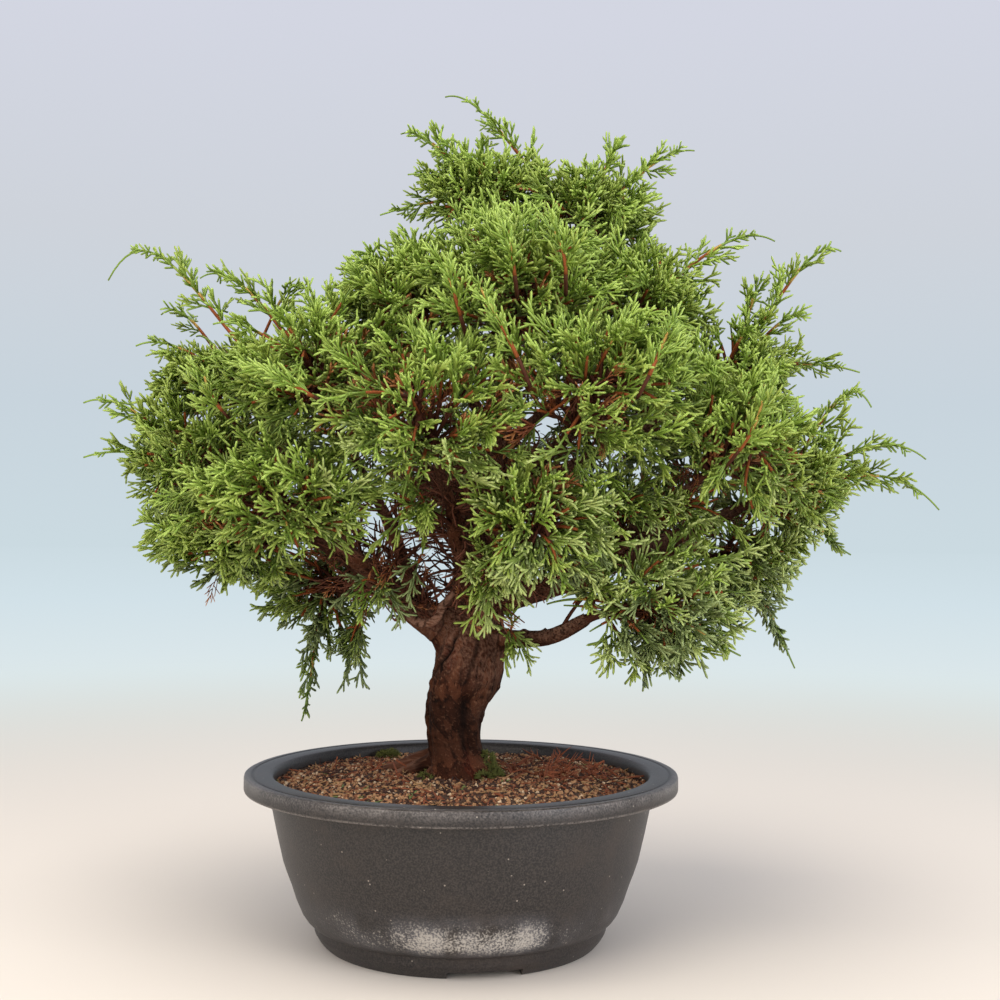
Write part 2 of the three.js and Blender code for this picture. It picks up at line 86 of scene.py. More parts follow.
lens = bpy.data.cameras.new("lens")
lens.sensor_width = 36
lens.lens = FOCAL_PIXELS / IMAGE_PIXELS * lens.sensor_width
camera = bpy.data.objects.new("camera", lens)
bpy.context.scene.collection.objects.link(camera)
camera.matrix_world = (
    Matrix.Translation(Vector(np.array(CAMERA_FROM_AXIS) * MM + AXIS))
    @ Matrix.Rotation(math.radians(90 + CAMERA_PITCH), 4, "X")
    @ Matrix.Rotation(math.radians(CAMERA_ROLL), 4, "Z")
)
bpy.context.scene.camera = camera
print("lens", round(lens.lens, 2), "mm")

# %% [markdown]
# ## Colours and nodes
# A colour given in hex is in sRGB, but a shader adds light up, so it wants linear numbers. One function
# turns the one into the other. A second one adds a node with its settings and links, and every material
# and every tree of geometry nodes below is made with it. Two more make what several materials share: a mask
# out of smooth steps, and colours that lie over one another like coats of paint, each by its own mask.


# %% Helpers for colours and nodes
def linear(hex_colour):
    shares = [int(hex_colour[i : i + 2], 16) / 255 for i in (1, 3, 5)]
    lights = [share / 12.92 if share <= 0.04045 else ((share + 0.055) / 1.055) ** 2.4 for share in shares]
    return (*lights, 1)


def add_node(tree, kind, inputs=None, **settings):
    node = tree.nodes.new(kind)
    for name, value in settings.items():
        setattr(node, name, value)
    for socket, value in (inputs or {}).items():
        if isinstance(value, bpy.types.NodeSocket):
            tree.links.new(value, node.inputs[socket])
        else:
            node.inputs[socket].default_value = value
    return node


MIX_A, MIX_B, MIX_OUT = 6, 7, 2  # a Mix node's colour sockets


def mask_from(tree, *steps):
    """A product of shares. A step is a share, or what it reads, where it starts and where it is full."""
    mask = None
    for step in steps:
        if isinstance(step, tuple):
            ends = dict(enumerate(step))
            step = add_node(tree, "ShaderNodeMapRange", ends, interpolation_type="SMOOTHSTEP").outputs[0]
        if mask is None:
            mask = step
        else:
            mask = add_node(tree, "ShaderNodeMath", {0: mask, 1: step}, operation="MULTIPLY").outputs[0]
    return mask


def lay_coats(tree, colour, coats):
    """Colours laid over one another, each by its own mask. A colour is in hex or comes from a socket."""
    for mask, coat in coats:
        under, over = (linear(paint) if isinstance(paint, str) else paint for paint in (colour, coat))
        coated = add_node(tree, "ShaderNodeMix", {0: mask, MIX_A: under, MIX_B: over}, data_type="RGBA")
        colour = coated.outputs[MIX_OUT]
    return colour


def start_material(name, colour, roughness, ior=1.5):
    material = bpy.data.materials.new(name)
    material.use_nodes = True
    material.diffuse_color = linear(colour)
    shader = material.node_tree.nodes["Principled BSDF"]
    shader.inputs["Base Color"].default_value = linear(colour)
    shader.inputs["Roughness"].default_value = roughness
    shader.inputs["IOR"].default_value = ior
    return material, material.node_tree, shader


def rough_material(name, colour, roughness, grain_mm, strength, depth_mm, ior=1.5, detail=2.0):
    """A material whose surface is rough by one fine noise, and that noise, for its colours."""
    made, tree, shader = start_material(name, colour, roughness, ior)
    where = add_node(tree, "ShaderNodeTexCoord").outputs["Object"]
    fine = {"Vector": where, "Scale": 1000 / grain_mm, "Detail": detail}
    noise = add_node(tree, "ShaderNodeTexNoise", fine).outputs["Fac"]
    relief = {"Height": noise, "Strength": strength, "Distance": depth_mm * MM}
    bump = add_node(tree, "ShaderNodeBump", relief)
    tree.links.new(bump.outputs[0], shader.inputs["Normal"])
    return made, tree, shader, noise


# %% [markdown]
# ## Light and floor
# The light in the photograph is soft and comes from above and in front, so the crown's top is bright and
# the trunk stands in the crown's own shade. A wide sheet of light overhead, a softer one on either side
# and a pale sky do that. The floor is plain and fades to the sky's colour far away.

# %% Light and floor
SKY = [(0.0, "#CBDAE1"), (0.1, "#C8D4DD"), (0.22, "#CED3DB"), (0.36, "#D3D6E2")]  # by height of the direction
CROWN_MIDDLE = (10, 0, 380)
SHEET_WIDTH = 1100
SHEETS = {  # place, watts, colour
    "light_top": ((-150, -500, 1700), 18, "#FFF9EE"),
    "light_front_left": ((-900, -1500, 700), 12.5, "#FFF6EA"),
    "light_right": ((1300, -1200, 500), 16.5, "#F6F8FF"),
}
FLOOR_PAINT, FLOOR_RADIUS, FLOOR_CORNERS = "#E6DCCF", 60000, 96
FLOOR_GLOW = [(0.0, "#CBDAE1"), (0.2, "#D2E1E8"), (0.4, "#DAE6EA"), (0.6, "#E1EAE7"), (0.94, "#EFEEE3")]
FLOOR_FADE_NEAR, FLOOR_FADE_FAR = 0.3, 2.2  # metres from the pot
GLOW_SCALE, CAMERA_AWAY = 1.37, 0.958  # the glow runs evenly down the picture when it goes by 1 / distance


def put_in_scene(name, data):
    made = bpy.data.objects.new(name, data)
    bpy.context.scene.collection.objects.link(made)
    return made


world = bpy.data.worlds.new("pale_sky")
bpy.context.scene.world = world
world.use_nodes = True
sky = world.node_tree
way = add_node(sky, "ShaderNodeTexCoord")
upward = add_node(sky, "ShaderNodeSeparateXYZ", {0: way.outputs["Generated"]}).outputs["Z"]
sky_ramp = add_node(sky, "ShaderNodeValToRGB", {0: upward})
sky.links.new(sky_ramp.outputs[0], sky.nodes["Background"].inputs["Color"])
for name, (place, watts, colour) in SHEETS.items():
    light = bpy.data.lights.new(name, "AREA")
    light.shape = "SQUARE"
    light.size = SHEET_WIDTH * MM
    light.energy = watts
    light.color = linear(colour)[:3]
    sheet = put_in_scene(name, light)
    sheet.location = Vector(np.array(place) * MM + AXIS)
    to_crown = Vector((np.array(CROWN_MIDDLE) - np.array(place)) * MM)
    sheet.rotation_euler = to_crown.to_track_quat("-Z", "Y").to_euler()
print(len(SHEETS), "sheets of light round", CROWN_MIDDLE)

floor_mesh = bpy.data.meshes.new("floor")
turns = np.linspace(0, 2 * np.pi, FLOOR_CORNERS, endpoint=False)
floor_edge = np.stack([np.cos(turns), np.sin(turns), 0 * turns], 1) * FLOOR_RADIUS * MM + AXIS
floor_mesh.from_pydata(floor_edge.tolist(), [], [list(range(FLOOR_CORNERS))])
floor = put_in_scene("floor", floor_mesh)
floor_paint, tree, shader = start_material("floor_matt_paint", FLOOR_PAINT, 0.9)
where = add_node(tree, "ShaderNodeTexCoord").outputs["Object"]
centred = add_node(tree, "ShaderNodeVectorMath", {0: where, 1: tuple(AXIS)}, operation="SUBTRACT").outputs[0]
away = add_node(tree, "ShaderNodeVectorMath", {0: centred}, operation="LENGTH").outputs["Value"]
from_camera = add_node(tree, "ShaderNodeMath", {0: away, 1: CAMERA_AWAY}, operation="ADD").outputs[0]
nearness = add_node(tree, "ShaderNodeMath", {0: GLOW_SCALE, 1: from_camera}, operation="DIVIDE").outputs[0]
glow_ramp = add_node(tree, "ShaderNodeValToRGB", {0: nearness})
glow = add_node(tree, "ShaderNodeEmission", {"Color": glow_ramp.outputs[0]}).outputs[0]
fade = mask_from(tree, (away, FLOOR_FADE_NEAR, FLOOR_FADE_FAR))
blend = add_node(tree, "ShaderNodeMixShader", {0: fade, 1: shader.outputs[0], 2: glow}).outputs[0]
tree.links.new(blend, tree.nodes["Material Output"].inputs["Surface"])
floor_mesh.materials.append(floor_paint)
for ramp, stops in ((sky_ramp, SKY), (glow_ramp, FLOOR_GLOW)):
    elements = ramp.color_ramp.elements
    while len(elements) < len(stops):
        elements.new(1.0)
    for element, (place, colour) in zip(elements, stops):
        element.position = place
        element.color = linear(colour)
bpy.context.scene.view_settings.view_transform = "Standard"

# %% [markdown]
# ## Meshes from arrays
# Most of this plant is thousands of small alike shapes. Blender takes a mesh's points and faces as plain
# arrays, so the shapes are worked out with numpy, many at a time, and handed over once. Three helpers do
# the handing over: one makes an object, one says which CAD nodes it stands for, and one bends a closed
# tube along a line of points, which makes every limb, root and twig here.


# %% Helpers for meshes
def make_object(name, points_mm, faces, materials, face_material=None, origin=AXIS):
    mesh = bpy.data.meshes.new(name)
    mesh.from_pydata((np.asarray(points_mm) * MM + origin).tolist(), [], np.asarray(faces).tolist())
    for material in materials:
        mesh.materials.append(material)
    if face_material is not None:
        mesh.polygons.foreach_set("material_index", np.asarray(face_material, np.int32))
    mesh.shade_smooth()
    mesh.update()
    return put_in_scene(name, mesh)


def dress(piece, slot, *nodes):
    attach(piece, "root")
    if nodes:
        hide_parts(*nodes)
    triangles = sum(len(face.vertices) - 2 for face in piece.data.polygons)
    print(f"{piece.name}: {triangles} triangles, stands for {len(nodes)} nodes")


def unit(vectors):
    return vectors / np.maximum(np.linalg.norm(vectors, axis=-1, keepdims=True), 1e-9)


def line_length(line):
    return np.linalg.norm(np.diff(line, axis=0), axis=1).sum()


def rings_along(line):
    """Two directions square to the line at each of its points, carried along without a twist."""
    ahead = unit(np.gradient(line, axis=0))
    side = np.zeros_like(line)
    side[0] = unit(np.cross(ahead[0], [0.31, 0.95, 0.05] if abs(ahead[0][2]) > 0.6 else [0, 0, 1]))
    for i in range(1, len(line)):
        side[i] = unit(side[i - 1] - ahead[i] * np.dot(side[i - 1], ahead[i]))
    return ahead, side, np.cross(ahead, side)


def tube(line, radii, sides):
    """Points and triangles of a closed tube. radii has one number for each ring, or one for each corner."""
    ahead, side, over = rings_along(line)
    angle = np.linspace(0, 2 * np.pi, sides, endpoint=False)
    radii = np.atleast_1d(radii)
    radii = np.broadcast_to(radii.reshape(len(radii), -1), (len(line), sides))
    spokes = np.cos(angle)[None, :, None] * side[:, None] + np.sin(angle)[None, :, None] * over[:, None]
    points = (line[:, None] + spokes * radii[..., None]).reshape(-1, 3)
    points = np.vstack([points, line[0], line[-1]])
    first, last = len(points) - 2, len(points) - 1
    ring, corner = np.meshgrid(np.arange(len(line) - 1), np.arange(sides), indexing="ij")
    a = (ring * sides + corner).ravel()
    b = (ring * sides + (corner + 1) % sides).ravel()
    walls = np.vstack([np.stack([a, b, b + sides], 1), np.stack([a, b + sides, a + sides], 1)])
    rim = np.arange(sides)
    rim_next = (rim + 1) % sides
    far = (len(line) - 1) * sides
    start_cap = np.stack([rim_next, rim, np.full(sides, first)], 1)
    end_cap = np.stack([far + rim, far + rim_next, np.full(sides, last)], 1)
    return points, np.vstack([walls, start_cap, end_cap])


def join_parts(parts):
    """One mesh's points and faces from a list of (points, faces)."""
    starts = np.cumsum([0] + [len(points) for points, _ in parts[:-1]])
    return (
        np.vstack([points for points, _ in parts]),
        np.vstack([faces + start for (_, faces), start in zip(parts, starts)]),
    )


def lattice_noise(places, seed=0):
    """Smooth noise from -1 to 1, with about one bump to each unit of the places."""
    cell = np.floor(places).astype(np.int64)
    part = places - cell
    part = part * part * (3 - 2 * part)
    total = np.zeros(len(places))
    for corner in np.ndindex(2, 2, 2):
        key = (cell + corner) @ np.array([73856093, 19349663, 83492791]) + seed * 2654435761
        key = (key ^ (key >> 13)) * 1274126177 & 0x7FFFFFFF
        key = (key ^ (key >> 16)) & 0xFFFF
        weight = np.prod(np.where(corner, part, 1 - part), axis=1)
        total += weight * (key / 32767.5 - 1)
    return total


def clip01(values):
    return np.clip(values, 0, 1)


# %% [markdown]
# ## Pot
# The pot is a round training pot of black polypropylene, injection moulded: a flange with a fine groove,
# a wall that leans in to a waist, and a foot ring with three gaps that let water out. A turned profile is
# the natural way, with the rounded edges that a mould leaves written into it. The gaps and the drain
# holes are cut with a Boolean, as they would be by the mould's own steel.

# %% The pot's shell
POT_SEGMENTS = 160
FOOT_INSIDE, FOOT_RISE, FLOOR_TOP = 87, 6, 9
FOOT_GAP_BEARING, FOOT_GAP_MIDDLE, FOOT_GAP_WIDTH, FOOT_GAP_HEIGHT = -79, 95, 48, 5
MOULD_EDGE = 0.5
DRAIN_RADIUS, DRAIN_RING = 7, 55
POT_OUTSIDE = [
    (94.6, 0), (95.5, 0.7), (98.4, 4), (100.6, 7.6), (101.1, 9), (101.1, 13), (101.6, 14.2), (104.2, 15.4),
    (107, 18), (109.8, 22), (113.8, 31), (117.1, 41), (120.2, 49), (123, 57), (127.2, 75), (130.8, 92),
    (131.8, 103.4), (132.6, 104.3),
]
POT_RIM = [
    (148.6, 104.3), (149.7, 104.8), (150, 105.8), (150, 113), (149.6, 114.4), (148.4, 115), (145.4, 115),
    (144.8, 114.2), (143.8, 114.2), (143.2, 115), (132.4, 115), (131.2, 114.5),
]
POT_INSIDE = [
    (130.2, 113), (129.5, 110), (128.9, 104), (127.8, 92), (123.6, 75), (118.8, 57), (113, 40), (105.8, 23),
    (97.8, 13), (92.8, 9),
]
POT_UNDERSIDE = [(FOOT_INSIDE, FOOT_RISE), (FOOT_INSIDE, 0.8), (FOOT_INSIDE + 0.8, 0)]


def turned(name, profile, segments):
    """A closed turned shape. The profile runs anticlockwise, with the axis on its left, from pole to pole."""
    rim = np.array([place for place in profile if place[0] > 0], float)
    turns = np.linspace(0, 2 * np.pi, segments, endpoint=False)
    level = [np.outer(rim[:, 0], np.cos(turns)), np.outer(rim[:, 0], np.sin(turns))]
    points = np.stack([*level, np.outer(rim[:, 1], np.ones(segments))], -1).reshape(-1, 3)
    points = np.vstack([points, [0, 0, profile[0][1]], [0, 0, profile[-1][1]]])
    low, high = len(points) - 2, len(points) - 1
    last = (len(rim) - 1) * segments
    faces = []
    for start in range(0, last, segments):
        for i in range(segments):
            j = (i + 1) % segments
            faces.append([start + i, start + j, start + segments + j, start + segments + i])
    for i in range(segments):
        j = (i + 1) % segments
        faces.append([j, i, low])
        faces.append([last + i, last + j, high])
    mesh = bpy.data.meshes.new(name)
    mesh.from_pydata((points * MM + AXIS).tolist(), [], faces)
    return put_in_scene(name, mesh)


def box_part(size, centre, bearing):
    """A box's eight corners and its faces, turned about the upright axis."""
    corners = np.array(list(np.ndindex(2, 2, 2)), float) - 0.5
    points = corners * size + centre
    east, north = math.cos(math.radians(bearing)), math.sin(math.radians(bearing))
    points = points @ np.array([[east, north, 0], [-north, east, 0], [0, 0, 1]])
    quads = [(0, 1, 3, 2), (4, 6, 7, 5), (0, 4, 5, 1), (2, 3, 7, 6), (0, 2, 6, 4), (1, 5, 7, 3)]
    return points, np.array([t for a, b, c, d in quads for t in ((a, b, c), (a, c, d))])


def finished_mesh(thing):
    """The object's mesh with its modifiers applied, put in its place, and the modifiers removed."""
    evaluated = thing.evaluated_get(bpy.context.evaluated_depsgraph_get())
    mesh = bpy.data.meshes.new_from_object(evaluated)
    thing.modifiers.clear()
    thing.data = mesh
    return mesh


pot_profile = [(0, FOOT_RISE)] + POT_UNDERSIDE + POT_OUTSIDE + POT_RIM + POT_INSIDE + [(0, FLOOR_TOP)]
pot = turned("pot_shell", pot_profile, POT_SEGMENTS)
gap_size = (40, FOOT_GAP_WIDTH, FOOT_GAP_HEIGHT * 2)
cutters = [box_part(gap_size, (FOOT_GAP_MIDDLE, 0, 0), FOOT_GAP_BEARING + 120 * i) for i in range(3)]
drain_turns = [math.radians(45 + 90 * i) for i in range(4)]
for x, y in [(0, 0)] + [(DRAIN_RING * math.cos(turn), DRAIN_RING * math.sin(turn)) for turn in drain_turns]:
    cutters.append(tube(np.array([[x, y, 3.0], [x, y, 7], [x, y, 12]]), DRAIN_RADIUS, 24))
cutter = make_object("pot_cutters", *join_parts(cutters), [])
cut = pot.modifiers.new("mould_gaps", "BOOLEAN")
cut.operation, cut.solver, cut.object = "DIFFERENCE", "EXACT", cutter
edges = pot.modifiers.new("mould_edges", "BEVEL")
edges.width, edges.segments = MOULD_EDGE * MM, 2
edges.limit_method, edges.angle_limit = "ANGLE", math.radians(50)
finished_mesh(pot)
bpy.data.objects.remove(cutter)
pot.data.shade_smooth()
pot.data.set_sharp_from_angle(angle=math.radians(35))
print("pot", len(pot.data.polygons), "faces")

# %% [markdown]
# ## The pot's plastic
# Polypropylene from a spark-eroded mould is a dark, slightly warm grey with a fine dull grain. Years of
# watering leave lime: a broken white band low on the wall, thickest in front, pale wear on the rim's edge
# and a few light specks. A thin pale line along the flange's lower edge is painted highlight mixed with
# wear. The lime is a mask made of height, place along the front and two sizes of noise, and it is rougher
# than the plastic. Everything reads Object coordinates, so the marks stay put from every side.

# %% Plastic with lime
PLASTIC, PLASTIC_WARM, STAIN, HAZE, LIME = "#151213", "#38322F", "#3A302A", "#82828A", "#B2ABA1"
# The second of these is a thin pale line along the flange's lower edge, painted highlight mixed with wear.
WEAR, FLANGE_EDGE_WEAR_AND_HIGHLIGHT, SPECK = "#827A75", "#655E59", "#8F857A"
PLASTIC_ROUGHNESS, LIME_ROUGHNESS = 0.43, 0.95
POT_PATTERNS = {  # how many millimetres across, and how many finer layers of noise
    "patches": (26, 3), "speckle": (1.3, 3), "mottle": (1.2, 5), "stains": (34, 4), "grain": (0.9, 2),
}
SPECK_CELL_MM = 9
# Where masks start and are full, in metres up, to the back, to the right or from the axis.
BAND_FOOT, BAND_TOP = (0.013, 0.024), (0.049, 0.028)
BAND_FRONT, BAND_LEFT, BAND_RIGHT = (-0.06, -0.092), (-0.09, 0.0), (0.072, 0.04)
RIM_TOP, RIM_OUTER = (0.106, 0.1145), (0.1435, 0.149)
LOWER_EDGE, LOWER_EDGE_TOP = (0.1038, 0.1046), (0.1064, 0.1052)

plastic, tree, shader = start_material("polypropylene_moulded_matt", PLASTIC, PLASTIC_ROUGHNESS, ior=1.49)
where = add_node(tree, "ShaderNodeTexCoord").outputs["Object"]
to_axis = {"Vector": where, "Location": tuple(-AXIS)}
centred = add_node(tree, "ShaderNodeMapping", to_axis, vector_type="POINT").outputs[0]
split_place = add_node(tree, "ShaderNodeSeparateXYZ", {0: centred})
x, y, z = (split_place.outputs[axis] for axis in "XYZ")
noises = {}
for pattern, (size, detail) in POT_PATTERNS.items():
    fine = {"Vector": centred, "Scale": 1000 / size, "Detail": float(detail)}
    noises[pattern] = add_node(tree, "ShaderNodeTexNoise", fine).outputs["Fac"]
cells = add_node(tree, "ShaderNodeTexVoronoi", {"Vector": centred, "Scale": 1000 / SPECK_CELL_MM})

band = mask_from(tree, (z, *BAND_FOOT), (z, *BAND_TOP))
in_front = mask_from(tree, (y, *BAND_FRONT), (x, *BAND_LEFT), (x, *BAND_RIGHT))
front_share = add_node(tree, "ShaderNodeMapRange", {0: in_front, 3: 0.07, 4: 0.36}).outputs[0]
soft_patches = add_node(tree, "ShaderNodeMapRange", {0: noises["patches"], 3: 0.22, 4: 0.78}).outputs[0]
patchy = add_node(tree, "ShaderNodeMath", {0: soft_patches, 1: noises["speckle"]}, operation="ADD").outputs[0]
lime_share = mask_from(tree, band, front_share)
lime_sum = add_node(tree, "ShaderNodeMath", {0: patchy, 1: lime_share}, operation="ADD").outputs[0]
lime_mask = mask_from(tree, band, (lime_sum, 1.16, 1.48), 0.9)
flat_place = add_node(tree, "ShaderNodeCombineXYZ", {0: x, 1: y}).outputs[0]
from_axis = add_node(tree, "ShaderNodeVectorMath", {0: flat_place}, operation="LENGTH").outputs["Value"]
rim_outer = mask_from(tree, (from_axis, *RIM_OUTER))
pot_colour = lay_coats(tree, PLASTIC, [
    (mask_from(tree, (noises["mottle"], 0.34, 0.7)), PLASTIC_WARM),
    (mask_from(tree, (noises["stains"], 0.45, 0.75), 0.5), STAIN),
    (mask_from(tree, lime_share, (noises["patches"], 0.3, 0.6)), HAZE),
    (lime_mask, LIME),
    (mask_from(tree, (z, *RIM_TOP), rim_outer, (patchy, 0.7, 1.5)), WEAR),
    # A thin pale line on the flange's lower edge: painted highlight mixed with wear.
    (mask_from(tree, (z, *LOWER_EDGE), (z, *LOWER_EDGE_TOP), rim_outer, (patchy, 0.8, 1.1)), FLANGE_EDGE_WEAR_AND_HIGHLIGHT),
    (mask_from(tree, (cells.outputs["Distance"], 0.075, 0.045)), SPECK),
])
tree.links.new(pot_colour, shader.inputs["Base Color"])
dull = add_node(tree, "ShaderNodeMapRange", {0: lime_mask, 3: PLASTIC_ROUGHNESS, 4: LIME_ROUGHNESS})
tree.links.new(dull.outputs[0], shader.inputs["Roughness"])
bump = add_node(tree, "ShaderNodeBump", {"Height": noises["grain"], "Strength": 0.4, "Distance": 0.0004})
tree.links.new(bump.outputs[0], shader.inputs["Normal"])
pot.data.materials.append(plastic)
dress(pot, "pot", "pot")

# %% [markdown]
# ## Soil
# The tree stands in fired clay grains mixed with bark dust, packed nearly to the rim and lower along the
# wall. Under the loose grains lies one closed body with an uneven top, which fills the pot. It could be
# left smooth, but dips and rises of a millimetre keep the grains on it from lying in one plane.

# %% Soil body
SOIL_HEIGHT, SOIL_EDGE_DROP, SOIL_MIDDLE, SOIL_EDGE = 111.5, 4.5, 72, 128.6
SOIL_UNDERSIDE = [(0, 9.3), (92.3, 9.3), (97.5, 13), (105.5, 23), (118.5, 57), (127.5, 92)]
SOIL_RINGS = [SOIL_EDGE, 124, 118, 110, 102, 92, 82, SOIL_MIDDLE, 62, 54, 46, 38, 30, 22, 14, 6, 0.3]
SOIL_DUST, SOIL_DARK, SOIL_LIGHT = "#5E4130", "#2A1B13", "#664834"

soil_drop = [SOIL_EDGE_DROP * max(0, (r - SOIL_MIDDLE) / (SOIL_EDGE - SOIL_MIDDLE)) for r in SOIL_RINGS]
soil_surface = [(r, SOIL_HEIGHT - drop) for r, drop in zip(SOIL_RINGS, soil_drop)]
soil = turned("soil_body", SOIL_UNDERSIDE + soil_surface + [(0, SOIL_HEIGHT)], 120)
spots = np.array([v.co for v in soil.data.vertices]) / MM - AXIS / MM
on_top = (spots[:, 2] > 100) & (np.hypot(spots[:, 0], spots[:, 1]) < SOIL_EDGE - 0.5)
uneven = 1.1 * lattice_noise(spots / 14, 3) + 0.6 * lattice_noise(spots / 5, 4) - 0.9
spots[on_top, 2] += uneven[on_top]
soil.data.vertices.foreach_set("co", (spots * MM + AXIS).ravel())
soil.data.shade_smooth()
soil_dust, tree, shader, crumbs = rough_material("akadama_dust_damp", SOIL_DUST, 1.0, 2.5, 0.8, 1, detail=3.0)
tree.links.new(lay_coats(tree, SOIL_DARK, [(crumbs, SOIL_LIGHT)]), shader.inputs["Base Color"])
soil.data.materials.append(soil_dust)
dress(soil, "soil", "soil")

# %% [markdown]
# ## A tree of nodes that scatters
# One tree serves for grains, dead needles and moss. Its named inputs are the thing to repeat, how many to
# a square metre, the smallest and largest scale, how far a copy may lean, the seed and the material. A
# piece of ground to scatter on is the modifier's own mesh. Realize Instances makes real faces of the
# copies, because the export drops instances, and the result is taken out as a plain mesh.


# %% Scatter tree
SCATTER_NUMBERS = {
    "Per Square Metre": "Float", "Smallest": "Float", "Largest": "Float", "Lean": "Float", "Seed": "Int",
}
SCATTER = bpy.data.node_groups.new("scatter", "GeometryNodeTree")
tree_inputs = {"Ground": "Geometry", "Thing": "Object", **SCATTER_NUMBERS, "Surface": "Material"}
for name, kind in tree_inputs.items():
    SCATTER.interface.new_socket(name=name, in_out="INPUT", socket_type=f"NodeSocket{kind}")
SCATTER.interface.new_socket(name="Scattered", in_out="OUTPUT", socket_type="NodeSocketGeometry")
given = add_node(SCATTER, "NodeGroupInput").outputs
spread = {"Mesh": given["Ground"], "Density": given["Per Square Metre"], "Seed": given["Seed"]}
points = add_node(SCATTER, "GeometryNodeDistributePointsOnFaces", spread).outputs
thing = add_node(SCATTER, "GeometryNodeObjectInfo", {"Object": given["Thing"]}).outputs["Geometry"]
tilt = given["Lean"]
back = add_node(SCATTER, "ShaderNodeMath", {0: tilt, 1: -1.0}, operation="MULTIPLY").outputs[0]
least = add_node(SCATTER, "ShaderNodeCombineXYZ", {0: back, 1: back, 2: 0.0}).outputs[0]
most = add_node(SCATTER, "ShaderNodeCombineXYZ", {0: tilt, 1: tilt, 2: 2 * math.pi}).outputs[0]
leaning = {0: least, 1: most, "Seed": given["Seed"]}
lean = add_node(SCATTER, "FunctionNodeRandomValue", leaning, data_type="FLOAT_VECTOR").outputs[0]
sizing = {2: given["Smallest"], 3: given["Largest"], "Seed": given["Seed"]}
size = add_node(SCATTER, "FunctionNodeRandomValue", sizing, data_type="FLOAT").outputs[1]
turning = {"Rotation": points["Rotation"], "Rotate By": lean}
stand = add_node(SCATTER, "FunctionNodeRotateRotation", turning, rotation_space="LOCAL").outputs[0]
copying = {"Points": points["Points"], "Instance": thing, "Rotation": stand, "Scale": size}
copies = add_node(SCATTER, "GeometryNodeInstanceOnPoints", copying).outputs[0]
real = add_node(SCATTER, "GeometryNodeRealizeInstances", {"Geometry": copies}).outputs[0]
coat = add_node(SCATTER, "GeometryNodeSetMaterial", {"Geometry": real, "Material": given["Surface"]})
add_node(SCATTER, "NodeGroupOutput", {"Scattered": coat.outputs[0]})


def scatter(name, ground, thing, material, *numbers):
    """A piece of the soil, made of copies of thing on ground. numbers are SCATTER_NUMBERS in their order."""
    piece = put_in_scene(name, ground.data.copy())
    modifier = piece.modifiers.new("scatter", "NODES")
    modifier.node_group = SCATTER
    sockets = {item.name: item.identifier for item in SCATTER.interface.items_tree}
    chosen = {**dict(zip(SCATTER_NUMBERS, numbers)), "Thing": thing, "Surface": material}
    for socket, value in chosen.items():
        modifier[sockets[socket]] = value
    finished_mesh(piece)
    dress(piece, "soil")


print("scatter tree with", len(SCATTER.nodes), "nodes")

# %% [markdown]
# ## Grains
# Four tints of grain come from four runs with their own seeds: tan and ochre clay, brown bark and a few
# pale stones. In each run one small stone is repeated thousands of times, turned and scaled at random, so
# its shape needs only twenty faces.

# %% Grains
SOIL_REACH, SOIL_LOWEST, TRUNK_ROOM = 127, 103, 15
GRAINS = {  # colour, how many to a square metre, smallest, largest
    "tan": ("#A87E58", 32000.0, 2.0, 4.6),
    "ochre": ("#84563A", 36000.0, 1.7, 4.0),
    "brown": ("#40281C", 42000.0, 1.6, 4.2),
    "pale": ("#CDB08E", 12000.0, 1.9, 4.3),
}


def stone(name, squash, seed):
    """A rough little stone of twenty faces, one millimetre across its middle."""
    golden = (1 + 5**0.5) / 2
    signs = [(a, b * golden) for a in (-1, 1) for b in (-1, 1)]
    corners = [(a, b, 0) for a, b in signs] + [(0, a, b) for a, b in signs] + [(b, 0, a) for a, b in signs]
    bumps = 1 + 0.22 * np.random.default_rng(seed).uniform(-1, 1, (12, 1))
    corners = unit(np.array(corners)) * 0.5 * bumps * squash
    hull = bpy.data.meshes.new(name)
    hull.from_pydata((corners * MM).tolist(), [], [])
    shape = bmesh.new()
    shape.from_mesh(hull)
    bmesh.ops.convex_hull(shape, input=shape.verts)
    bmesh.ops.recalc_face_normals(shape, faces=shape.faces)
    shape.to_mesh(hull)
    shape.free()
    return put_in_scene(name, hull)


def soil_patch(name, passes):
    """The part of the soil's top whose points, in millimetres from the axis, pass a test."""
    shape = bmesh.new()
    shape.from_mesh(soil.data)
    drop = []
    for face in shape.faces:
        x, y, z = np.array(face.calc_center_median()) / MM - AXIS / MM
        if z < SOIL_LOWEST or math.hypot(x, y) > SOIL_REACH or not passes(x, y):
            drop.append(face)
    bmesh.ops.delete(shape, geom=drop, context="FACES")
    mesh = bpy.data.meshes.new(name)
    shape.to_mesh(mesh)
    shape.free()
    return bpy.data.objects.new(name, mesh)


soil_top = soil_patch("soil_top", lambda x, y: math.hypot(x, y) > TRUNK_ROOM)
for seed, (tint, (colour, count, smallest, largest)) in enumerate(GRAINS.items()):
    clay, *_ = start_material(f"akadama_grain_{tint}", colour, 0.95)
    crumb = stone(f"crumb_{tint}", (1, 0.8, 0.66), seed)
    scatter(f"soil_grains_{tint}", soil_top, crumb, clay, count, smallest, largest, 1.4, seed)
    bpy.data.objects.remove(crumb)

# %% [markdown]
# ## Dead needles, moss and scraps
# Over the grains lie dead twigs that have dropped from the crown, thickest to the right of the trunk, odd
# green scraps, and a little moss against the trunk's foot. Each kind is one shape with a few side twigs or
# blades, and the same tree of nodes scatters it, on the whole soil or on a part of it. Moss grows in
# cushions, so its tufts are scattered on small domes.


